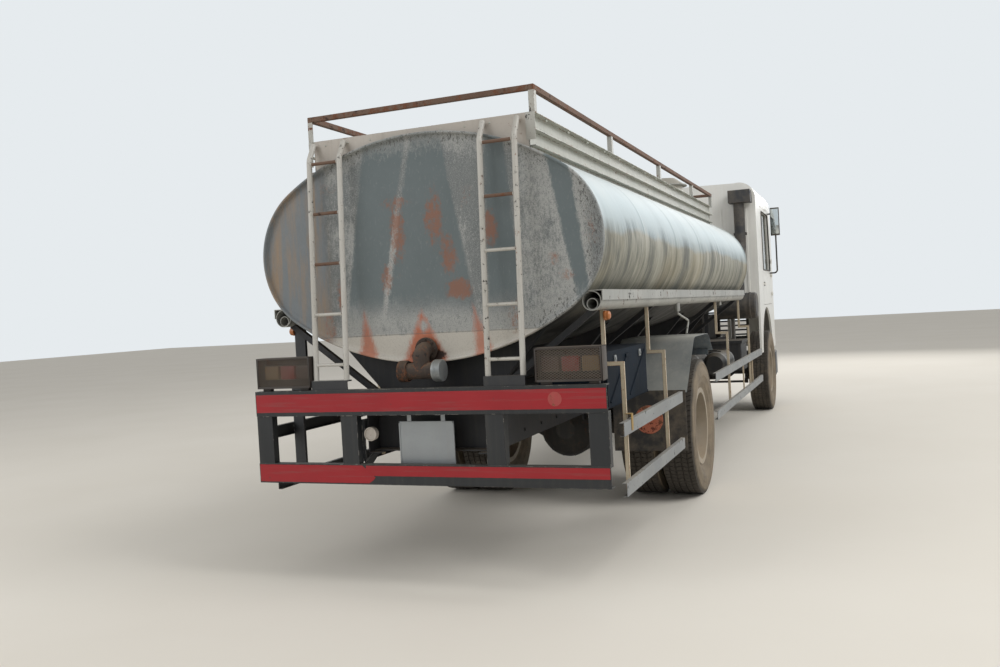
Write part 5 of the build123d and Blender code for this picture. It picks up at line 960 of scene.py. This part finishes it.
# Frame, cradle and brackets: rolled channel and plate in brushed dark grey chassis paint, dusted from
# below and rusting where it is scuffed.
chassis_paint = painted_steel("dusty_chassis_paint", "#1c1d20", "#29292b", "#3f3a35", "#4d382c", "#5a5145",
                              chip_at=0.67, rust_at=0.52, dusty=0.5, runs=0.15, gloss=0.6, edge_wear=0.12)
for node in ("frame_rails", "frame_crossmembers", "frame_brackets", "tank_cradle", "battery_box"):
    refined(node, node + "_painted", chassis_paint, 0.002)
frame_bolt_x, frame_bolts, first_bolt_y, bolt_pitch, bolt_rows_z = 0.430, 24, -2.9, 0.345, (0.905, 1.035)
bm = bmesh.new()
for side in (-1, 1):
    for i in range(frame_bolts):
        for z in bolt_rows_z:
            hex_bolt(bm, (side * frame_bolt_x, first_bolt_y + i * bolt_pitch, z), (side, 0, 0), 0.018, 0.009)
finished(bm, "frame_bolts", chassis_paint, "root")

# Tool locker under the tray: a sheet steel box with a drop-down flap, stiffened by pressed braces; navy
# enamel gone so dull that it hardly reflects the light. Its navy is darker than its own colour: painted shade
# from the tray above.
locker_enamel = painted_steel("navy_enamel_darkened_as_painted_shade", "#0d151e", "#17212c", "#343434", "#4f392c", "#3b3a37",
                              chip_at=0.68, rust_at=0.56, dusty=0.18, runs=0.15, gloss=0.6, shine=0.05)
refined("tool_locker", "tool_locker_painted", locker_enamel, 0.003)
refined("locker_door", "locker_flap_painted", locker_enamel, 0.003)


def rod(bm, points, radius, sides=12):
    """A round bar along a line of points, mitred at each."""
    points = [Vector(p) for p in points]
    first = (points[1] - points[0]).normalized()
    made = bmesh.ops.create_circle(bm, cap_ends=True, segments=sides, radius=radius,
                                   matrix=standing(points[0], first))
    face = made["verts"][0].link_faces[0]
    for i in range(1, len(points)):
        along = (points[i] - points[i - 1]).normalized()
        onward = (points[i + 1] - points[i]).normalized() if i + 1 < len(points) else along
        across = (along + onward).normalized()
        grown = bmesh.ops.extrude_face_region(bm, geom=[face])["geom"]
        bmesh.ops.delete(bm, geom=[face], context="FACES_ONLY")
        face = next(g for g in grown if isinstance(g, bmesh.types.BMFace))
        for vert in face.verts:
            vert.co += along * ((points[i] - vert.co).dot(across) / along.dot(across))


def bent(points, radius, steps=5):
    """A line of points with each corner rounded to an arc."""
    points = [Vector(p) for p in points]
    line = [points[0]]
    for before, corner, after in zip(points, points[1:], points[2:]):
        back, on = (before - corner).normalized(), (after - corner).normalized()
        half = back.angle(on) / 2
        run = min(radius / tan(half), (before - corner).length * 0.49, (after - corner).length * 0.49)
        for i in range(steps + 1):
            share = i / steps
            start, end = corner + back * run, corner + on * run
            line.append(start.lerp(corner, share).lerp(corner.lerp(end, share), share))
    return line + [points[-1]]


bm = bmesh.new()
for low_y, high_y in ((3.86, 4.35), (4.38, 4.87)):
    rod(bm, ((-1.0945, low_y, 1.385), (-1.0945, high_y, 1.10)), 0.006, 8)
finished(bm, "locker_flap_braces", locker_enamel, "locker_flap", smooth=60)
bm = bmesh.new()
for y in (4.02, 4.71):
    box(bm, (-1.1005, y - 0.022, 1.345), (-1.0915, y + 0.022, 1.395), 0.003)
    turned(bm, ((0.0, 0.0), (0.0, 0.012), (0.0045, 0.012), (0.0045, 0.0)), (-1.1005, y, 1.37), (-1, 0, 0), 16)
finished(bm, "locker_latches", galvanised, "locker_flap")

# Air tanks: drawn steel bottles in black paint, held by galvanised straps. Fuel tank: a pressed box of
# dulled sheet on flat straps, with a black filler cap.
tank_paint_black = painted_steel("dusty_black_enamel", "#1f2022", "#2e2e2d", "#4a423a", "#5c4030", "#6b6252",
                                 chip_at=0.68, dusty=0.45, runs=0.15, edge_wear=0.1)
refined("air_tanks", "air_tanks_painted", tank_paint_black, 0.003)
bm = bmesh.new()
for x in (-0.620, -0.940):
    for y in (-1.055, -0.495):
        turned(bm, ((-0.005, 0.1355), (-0.005, 0.1385), (0.030, 0.1385), (0.030, 0.1355)),
               (x, y - 0.0125, 0.960), (0, 1, 0), 40)
finished(bm, "air_tank_straps", galvanised, "root")
fuel_sheet = painted_steel("dulled_fuel_tank_sheet", "#7f8485", "#95999a", "#6a6a66", "#6f4f3b", "#857a67",
                           chip_at=0.70, gloss=0.4, metal=0.5, dusty=0.5)
refined("fuel_tank", "fuel_tank_pressed", fuel_sheet, 0.012)
bm = bmesh.new()
for y in (-0.985, -0.365):
    box(bm, (0.5185, y - 0.025, 0.600), (1.0800, y + 0.025, 0.6035), 0.001)
turned(bm, ((0.0, 0.058), (0.022, 0.058), (0.030, 0.052), (0.030, 0.0), (0.0, 0.0)), (0.95, -0.33, 1.178),
       (0, 0, 1), 32)
finished(bm, "fuel_tank_cap", tank_paint_black, "root")

# Air cleaner and snorkel behind the cab: black moulded plastic, chalked by the sun, with a louvred head
# up beside the cab's roof.
weathered_plastic = moulded("chalked_black_plastic", "#2a2b2d", 0.50, 0.4)
for node in ("air_cleaner", "snorkel"):
    refined(node, node + "_moulded", weathered_plastic, 0.004)
louvres, louvre_foot_z, louvre_pitch, louvre_tall = 9, 3.100, 0.017, 0.008
bm = bmesh.new()
for i in range(louvres):
    z = louvre_foot_z + i * louvre_pitch
    box(bm, (-1.1595, -3.1350, z), (-0.8505, -3.1275, z + louvre_tall), 0.001)
finished(bm, "snorkel_louvres", weathered_plastic, "root")

# Engine, gearbox, shafts, springs and axles: cast iron and forged steel under oil and road dust. The
# springs are tied to the axles by U bolts, and the rear axle's cover is bolted on.
front_axle_y, rear_axle_y, axle_z = -4.075, 2.275, 0.600
oily_iron = painted_steel("oily_cast_iron", "#2b2a29", "#3a3733", "#483a30", "#5a3f2f", "#655a4a",
                          chip_at=0.62, rust_at=0.46, dusty=0.45, runs=0.2, gloss=0.62, edge_wear=0.06)
for node in ("engine_block", "propeller_shafts", "rear_axle", "leaf_springs", "front_axle", "knuckle_left",
             "knuckle_right", "tie_rod", "exhaust"):
    coated(node, oily_iron)
bm = bmesh.new()
for side in (-1, 1):
    for axle_y, seat_z in ((front_axle_y, 0.585), (rear_axle_y, 0.675)):
        for y in (axle_y - 0.055, axle_y + 0.055):
            in_x, out_x, low_z, high_z = side * 0.341, side * 0.439, seat_z - 0.10, seat_z + 0.118
            rod(bm, bent(((in_x, y, low_z), (in_x, y, high_z), (out_x, y, high_z), (out_x, y, low_z)), 0.02, 4),
                0.009, 10)
finished(bm, "spring_u_bolts", oily_iron, "root")
bm = bmesh.new()
bolt_circle(bm, (0, rear_axle_y + 0.125, axle_z), (0, 1, 0), 0.251, 14, 0.016, 0.01)
finished(bm, "axle_cover_bolts", oily_iron, "root")

# Rear mudguards: bent galvanised sheet in three lengths on flat stays, splashed pale along the crown. The
# flaps are moulded black rubber with a plain rusty disc.
guard_sheet_finish = painted_steel("splashed_mudguard_sheet", "#4d565c", "#667077", "#2e3033", "#5a4234",
                                   "#a7a499", rust_at=0.60, dusty=0.45, runs=0.25, metal=0.35, edge_wear=0.12)
refined("rear_mudguards", "rear_mudguards_splashed", guard_sheet_finish, 0.0012)
flap_rubber = moulded("dusty_black_rubber", "#2b2a2a", 0.72, 0.55)
refined("mud_flaps", "mud_flaps_moulded", flap_rubber, 0.002)
disc_orange = painted_steel("faded_orange_disc", "#a5492f", "#b4694e", "#5e2c22", "#6f4a35", "#8a7a66",
                            chip_at=0.54)
bm = bmesh.new()
for x in (-0.925, 0.925):
    turned(bm, ((0.0, 0.0), (0.0, 0.118), (0.003, 0.115), (0.003, 0.0)), (x, 3.0847, 0.760), (0, 1, 0), 48)
finished(bm, "flap_blank_discs", disc_orange, "root")

# Tyres: radial lorry tyres of black rubber, their five ribs cut by sipes into slightly leaning blocks, dry
# dust on the walls and in the grooves.
tyre_rubber, add = blank_material("dusty_tyre_rubber")
place = add("TexCoord", out="Object")
wall = add("Attribute", attribute_name="wall", out="Fac")
clouds = add("TexNoise", place, 4.0, 9.0, 0.7)
grit = add("TexNoise", place, 90.0, 6.0, 0.7)
caked = add("Math", wall, 0.42, clouds, operation="MULTIPLY_ADD")
dusted = add("MapRange", caked, 0.52, 0.98, 0.12, 0.9)
patchy = add("MapRange", grit, 0.35, 0.62, 0.72, 1.0)
dusted = add("Math", dusted, patchy, operation="MULTIPLY")
colour = add("Mix", dusted, "#2c2a28", "#8d7f6b")
relief = add("Bump", grit, 0.35, 0.001)
lit = add("BsdfPrincipled", colour, 0.85, relief)
add("OutputMaterial", lit)
tread_steps, tyre_base = 84, 0.5885
sidewall = (
    (0.112, 0.3450), (0.1125, 0.3475), (0.124, 0.3700), (0.1335, 0.3900), (0.1350, 0.3925), (0.1352, 0.3965),
    (0.1395, 0.4120), (0.1470, 0.4450), (0.1492, 0.4480), (0.1494, 0.4530), (0.1498, 0.4560),
    (0.1498, 0.4900), (0.1488, 0.5020), (0.1470, 0.5050), (0.1462, 0.5090), (0.1440, 0.5300),
    (0.1425, 0.5480), (0.1450, 0.5500), (0.1440, 0.5640), (0.1405, 0.5660), (0.1370, 0.5780),
    (0.1310, tyre_base),
)
groove_edges = (-0.085, -0.077, -0.033, -0.025, 0.025, 0.033, 0.077, 0.085)
tread_ribs = ((-1, 0.025), (0.033, 0.077), (0.085, 0.131))
sipe_half, block_tall, ground_gap, tread_from = 0.0032, 0.0107, 0.0004, 0.583
section = [(-far, radius) for far, radius in sidewall] + [(far, tyre_base) for far in groove_edges]
section += [*sidewall[::-1], (0.104, 0.3440), (-0.104, 0.3440), (-0.112, 0.3450)]
for name, node, body, axle_y, places in (
    ("front_left", "tyre_front_left", "front_left_wheel", front_axle_y, (1.095,)),
    ("front_right", "tyre_front_right", "front_right_wheel", front_axle_y, (-1.095,)),
    ("rear_left", "tyres_rear_left", "rear_left_wheels", rear_axle_y, (1.095, 0.753)),
    ("rear_right", "tyres_rear_right", "rear_right_wheels", rear_axle_y, (-1.095, -0.753)),
):
    bm = bmesh.new()
    wall_layer = bm.verts.layers.float.new("wall")
    for x in places:
        before = set(bm.verts)
        turned(bm, section, (x, axle_y, axle_z), (1, 0, 0), tread_steps)
        for vert in set(bm.verts) - before:
            radius = hypot(vert.co.y - axle_y, vert.co.z - axle_z)
            vert[wall_layer] = 1 - step_between(0.555, 0.59, radius)
            if radius > 0.58:
                lean = 0.006 * abs(vert.co.x - x) / 0.13 + 0.004
                turn = atan2(vert.co.z - axle_z, vert.co.y - axle_y) + lean * sin(vert.co.x * 55) / 0.59
                vert.co.y, vert.co.z = axle_y + radius * cos(turn), axle_z + radius * sin(turn)
        blocks = []
        for face in bm.faces:
            at = face.calc_center_median()
            off = abs(at.x - x)
            on_tread = hypot(at.y - axle_y, at.z - axle_z) > tread_from
            if on_tread and any(low < off < high for low, high in tread_ribs):
                blocks.append(face)
        bmesh.ops.inset_individual(bm, faces=blocks, thickness=sipe_half, depth=0.0, use_even_offset=True)
        for vert in {v for f in blocks for v in f.verts}:
            out = Vector((0, vert.co.y - axle_y, vert.co.z - axle_z))
            vert.co += out.normalized() * block_tall
        for vert in set(bm.verts) - before:
            vert.co.z = max(vert.co.z, ground_gap)
    finished(bm, "tyres_" + name, tyre_rubber, body, [node], 30)

# Wheels: pressed steel discs in rolled rims, each with ten nuts, a bolted hub cap and a valve; silver
# enamel gone tan with dust.
rim_enamel = painted_steel("tan_dusted_rim_enamel", "#93897a", "#a69a88", "#5b5148", "#744c34", "#9d8b73",
                           dusty=0.3, runs=0.2, gloss=0.6, edge_wear=0.12)
wheel_nuts, nut_ring, cap_bolts, cap_ring, cap_x = 10, 0.1675, 8, 0.078, 1.1195
both_sides = ((1, "left"), (-1, "right"))
for side, name in both_sides:
    for node, body, axle_y, disc_x, nut_x in (
        ("wheel_front_" + name, f"front_{name}_wheel", front_axle_y, 1.096, 1.108),
        ("wheels_rear_" + name, f"rear_{name}_wheels", rear_axle_y, 0.926, 0.930),
    ):
        refined(node, node + "_enamelled", rim_enamel, 0.0015, 40)
        facing = (side, 0, 0)
        bm = bmesh.new()
        bolt_circle(bm, (side * nut_x, axle_y, axle_z), facing, nut_ring, wheel_nuts, 0.030, 0.026, first=0.5)
        bolt_circle(bm, (side * cap_x, axle_y, axle_z), facing, cap_ring, cap_bolts, 0.014, 0.007)
        rod(bm, ((side * (disc_x + 0.004), axle_y + 0.292, axle_z),
                 (side * (disc_x + 0.07), axle_y + 0.300, axle_z)), 0.0045, 8)
        finished(bm, node + "_nuts", rim_enamel, body)

# Cab: pressed steel panels spot welded along their seams, white enamel dulled by dust; a steel step and
# rubber round each opening. Its back wall has pressed ribs.
cab_enamel = painted_steel("dusty_white_cab_enamel", "#d8d8d3", "#e2e1db", "#77706a", "#7a4c33", "#a89c86",
                           chip_at=0.735, rust_at=0.56, runs=0.10, gloss=0.36, edge_wear=0.05)
refined("cab_shell", "cab_shell_enamelled", cab_enamel, 0.004, 35)
for side, name in both_sides:
    refined(f"door_{name}", f"door_{name}_enamelled", cab_enamel, 0.004, 35)
seal_rubber = moulded("black_seal_rubber", "#1f2022", 0.6, 0.35)


def frame_line(bm, corners, corner_radius, radius):
    """A closed round bead along a line of corners, each rounded."""
    points = [Vector(p) for p in corners]
    start = (points[0] + points[1]) / 2
    rod(bm, bent([start] + points[1:] + [points[0], start], corner_radius), radius, 8)


door_face_x = 1.2015
for side, name in both_sides:
    x = side * door_face_x
    bm = bmesh.new()
    frame_line(bm, ((x, -4.860, 2.130), (x, -3.840, 2.130), (x, -3.840, 3.010), (x, -4.770, 3.010),
                    (x, -4.860, 2.350)), 0.03, 0.010)
    finished(bm, f"door_window_rubber_{name}", seal_rubber, f"{name}_door", smooth=60)
    bm = bmesh.new()
    box(bm, (min(x, x + side * 0.004), -4.010, 1.890), (max(x, x + side * 0.004), -3.840, 1.945), 0.0015)
    box(bm, (min(x, x + side * 0.024), -4.000, 1.905), (max(x, x + side * 0.024), -3.850, 1.928), 0.006)
    finished(bm, f"door_handle_{name}", housing_plastic, f"{name}_door")
# The windscreen's foot, and how far back it leans for each metre up
screen_foot_y, screen_foot_z, screen_lean = -5.325, 2.090, 0.170 / 1.020
screen_half, rubber_low_z, rubber_high_z = 1.050, 2.130, 3.050
low_y, high_y = (screen_foot_y - 0.006 + (z - screen_foot_z) * screen_lean
                 for z in (rubber_low_z, rubber_high_z))
bm = bmesh.new()
frame_line(bm, ((-screen_half, low_y, rubber_low_z), (screen_half, low_y, rubber_low_z),
                (screen_half, high_y, rubber_high_z), (-screen_half, high_y, rubber_high_z)), 0.07, 0.012)
finished(bm, "windscreen_rubber", seal_rubber, "cab", smooth=60)
# Wipers: a boss, an arm to the blade's middle, and the blade across it
boss_y, boss_z = -5.338, 2.085
blade_reach = Vector((0.26, 0.026, 0.155))
bm = bmesh.new()
for pivot_x in (-0.92, -0.27, 0.38):
    rod(bm, ((pivot_x, boss_y + 0.006, boss_z), (pivot_x, boss_y - 0.012, boss_z)), 0.014)
    middle = Vector((pivot_x + 0.36, screen_foot_y + 0.20 * screen_lean - 0.030, 2.30))
    rod(bm, ((pivot_x, boss_y - 0.008, boss_z), middle), 0.006, 8)
    rod(bm, (middle - blade_reach, middle + blade_reach), 0.007, 8)
finished(bm, "windscreen_wipers", housing_plastic, "cab", smooth=60)

# Glass: green tinted float glass in the doors and in the laminated windscreen, set in rubber. Smears of
# dust some 400 mm across lie on it.
cab_glass, add = blank_material("dusty_green_tinted_glass")
place = add("TexCoord", out="Object")
smears = add("TexNoise", place, 2.5, 8.0, 0.7)
film = add("MapRange", smears, 0.42, 0.75, 0.05, 0.40)
tint = add("BsdfPrincipled", "#a9bcb6", 0.03, IOR=1.5, Transmission_Weight=1.0)
haze = add("BsdfPrincipled", "#8f8b80", 0.7)
lit = add("MixShader", film, tint, haze)
add("OutputMaterial", lit)
for node in ("windscreen", "door_glass_left", "door_glass_right"):
    coated(node, cab_glass)

# Mirrors: black moulded housings on steel tube, hung from the doors, with a silvered glass pane let into
# the rear face of each.
for side, name in both_sides:
    refined(f"mirror_{name}", f"mirror_{name}_moulded", weathered_plastic, 0.004, 50)
silvered, add = blank_material("silvered_mirror_glass")
place = add("TexCoord", out="Object")
smears = add("TexNoise", place, 12.0, 7.0)
rough = add("MapRange", smears, 0.45, 0.75, 0.03, 0.35)
lit = add("BsdfPrincipled", "#c4cbcc", rough, Metallic=1.0)
add("OutputMaterial", lit)
mirror_x, pane_half = 1.320, 0.058
for side, name in both_sides:
    x = side * mirror_x
    bm = bmesh.new()
    box(bm, (x - pane_half, -4.7405, 2.712), (x + pane_half, -4.7385, 3.108), 0.0008)
    finished(bm, f"mirror_glass_{name}", silvered, f"{name}_door")

# Grille: moulded level bars in a frame. Front bumper: pressed steel, with fluted headlamps and amber
# indicators let into it, and steps of studded plate in its ends.
grille_plastic = moulded("dark_grey_grille_plastic", "#3a3d40", 0.42, 0.35)
refined("grille", "grille_moulded", grille_plastic, 0.003)
front_bumper_enamel = painted_steel("dusty_grey_bumper_enamel", "#4f5356", "#5e6164", "#8c8a84", "#74503a",
                                    "#8d816d", chip_at=0.70, rust_at=0.56, dusty=0.4, runs=0.10,
                                    edge_wear=0.1)
refined("front_bumper", "front_bumper_pressed", front_bumper_enamel, 0.004)
coated("headlamps", housing_plastic)
headlamp_finish = moulded("fluted_headlamp_glass", "#b9c0c2", 0.08, 0.15)
lens_back_y, lens_front_y, lens_low_z, lens_high_z = -5.4185, -5.4245, 0.630, 0.770
headlamp_x, first_flute, flutes, flute_pitch, flute_half = 0.855, -0.115, 13, 0.0192, 0.0093
indicator_x, indicator_half = 1.036, 0.044
bm = bmesh.new()
for side in (-1, 1):
    for i in range(flutes):
        x = side * headlamp_x + first_flute + i * flute_pitch
        box(bm, (x - flute_half, lens_front_y, lens_low_z), (x + flute_half, lens_back_y, lens_high_z), 0.0025)
finished(bm, "headlamp_glasses", headlamp_finish, "root")
bm = bmesh.new()
for x in (-indicator_x, indicator_x):
    box(bm, (x - indicator_half, lens_front_y, lens_low_z),
        (x + indicator_half, lens_back_y, lens_high_z), 0.003)
finished(bm, "front_indicators", lens_amber, "root")
tread_plate = painted_steel("worn_step_plate", "#6d6f70", "#7c7d7c", "#a3a29d", "#74503a", "#8d816d",
                            chip_at=0.60, metal=0.4)
stud_half, first_stud = Vector((0.010, 0.0025, 0.0018)), Vector((0.965, -5.060, 0.0012))
bm = bmesh.new()
for side in (-1, 1):
    for step_z in (0.460, 0.828):
        for i in range(9):
            for j in range(5):
                at = first_stud + Vector((0.050 * j, 0.028 * i, step_z))
                at.x *= side
                turn = Matrix.Rotation(radians(45 if (i + j) % 2 else -45), 4, "Z")
                box(bm, at - stud_half, at + stud_half, turn=turn)
finished(bm, "step_tread_studs", tread_plate, "root")

# Dashboard: a grained plastic console with three blank dials in bezels. The steering wheel and its column
# are part of it.
dash_plastic = moulded("grained_dashboard_plastic", "#3b3c3e", 0.62, 0.3)
refined("dashboard", "dashboard_moulded", dash_plastic, 0.004, 40)
bm = bmesh.new()
for x in (0.43, 0.55, 0.67):
    turned(bm, ((0.0, 0.0), (0.004, 0.0), (0.004, 0.040), (0.010, 0.042), (0.010, 0.048), (0.0, 0.048)),
           (x, -4.9455, 1.955), (0, 1, 0), 32)
finished(bm, "dashboard_dials", housing_plastic, "cab")

# Seats: foam cushions in woven cloth on steel boxes, their tops crowned and quilted, with headrests on two
# posts. The cloth's threads are 1.7 mm apart.
seat_cloth, add = blank_material("woven_grey_seat_cloth")
place = add("TexCoord", out="Object")
weave_a = add("TexWave", place, 180.0, bands_direction="X", out="Fac")
weave_b = add("TexWave", place, 180.0, bands_direction="Z", out="Fac")
weave = add("Math", weave_a, weave_b, operation="MULTIPLY")
faded = add("TexNoise", place, 6.0, 7.0)
cloth = add("Mix", faded, "#4a4d52", "#6b6a66")
cloth = add("Mix", weave, cloth, "#33363a")
relief = add("Bump", weave, 0.3, 0.0006)
lit = add("BsdfPrincipled", cloth, 0.92, relief, Sheen_Weight=0.25)
add("OutputMaterial", lit)
seat_out = 0.540
for side, name in both_sides:
    for part, low, high, lean in (
        ("cushion", (-0.245, -4.370, 1.950), (0.245, -3.930, 2.100), 2.7),
        ("backrest", (-0.235, -3.935, 2.085), (0.235, -3.830, 2.560), -11.5),
        ("headrest", (-0.130, -3.835, 2.605), (0.130, -3.745, 2.765), -11.5),
    ):
        low, high = Vector(low), Vector(high)
        low.x, high.x = low.x + side * seat_out, high.x + side * seat_out
        middle, half = (low + high) / 2, (high - low) / 2
        bm = bmesh.new()
        bmesh.ops.create_cube(bm, size=2)
        bmesh.ops.subdivide_edges(bm, edges=bm.edges[:], cuts=15, use_grid_fill=True)
        for vert in bm.verts:
            at = vert.co.copy()
            round_off = 1 - 0.055 * ((abs(at.x) ** 6 + abs(at.y) ** 6 + abs(at.z) ** 6) - 1)
            quilt = 0.0 if part == "headrest" else 0.035 * abs(sin(at.x * pi * 1.5)) ** 0.5
            crown = (1 - at.x ** 2) * 0.05 + quilt
            axis = "z" if part == "cushion" else "y"
            thick = getattr(at, axis)
            setattr(at, axis, thick * (0.87 + crown * 1.3) if (thick > 0) == (axis == "z") else thick)
            wrinkle = 0.004 * noise.noise(at * 3.1 + Vector((side, 0, len(part))))
            shaped = Vector((at.x * half.x, at.y * half.y, at.z * half.z)) * round_off
            vert.co = shaped + Vector((0, 0, wrinkle))
        turn = Matrix.Rotation(radians(lean), 4, "X")
        bmesh.ops.transform(bm, verts=bm.verts, matrix=Matrix.Translation(middle) @ turn)
        piece = finished(bm, f"seat_{part}_{name}", seat_cloth, "cab",
                         ["seats"] if (part, name) == ("cushion", "left") else (), 60)
bm = bmesh.new()
for x in (-seat_out, seat_out):
    box(bm, (x - 0.190, -4.310, 1.651), (x + 0.190, -3.870, 1.955), 0.012)
    for off in (-0.07, 0.07):
        rod(bm, ((x + off, -3.845, 2.54), (x + off, -3.815, 2.62)), 0.006, 8)
finished(bm, "seat_boxes", housing_plastic, "cab")
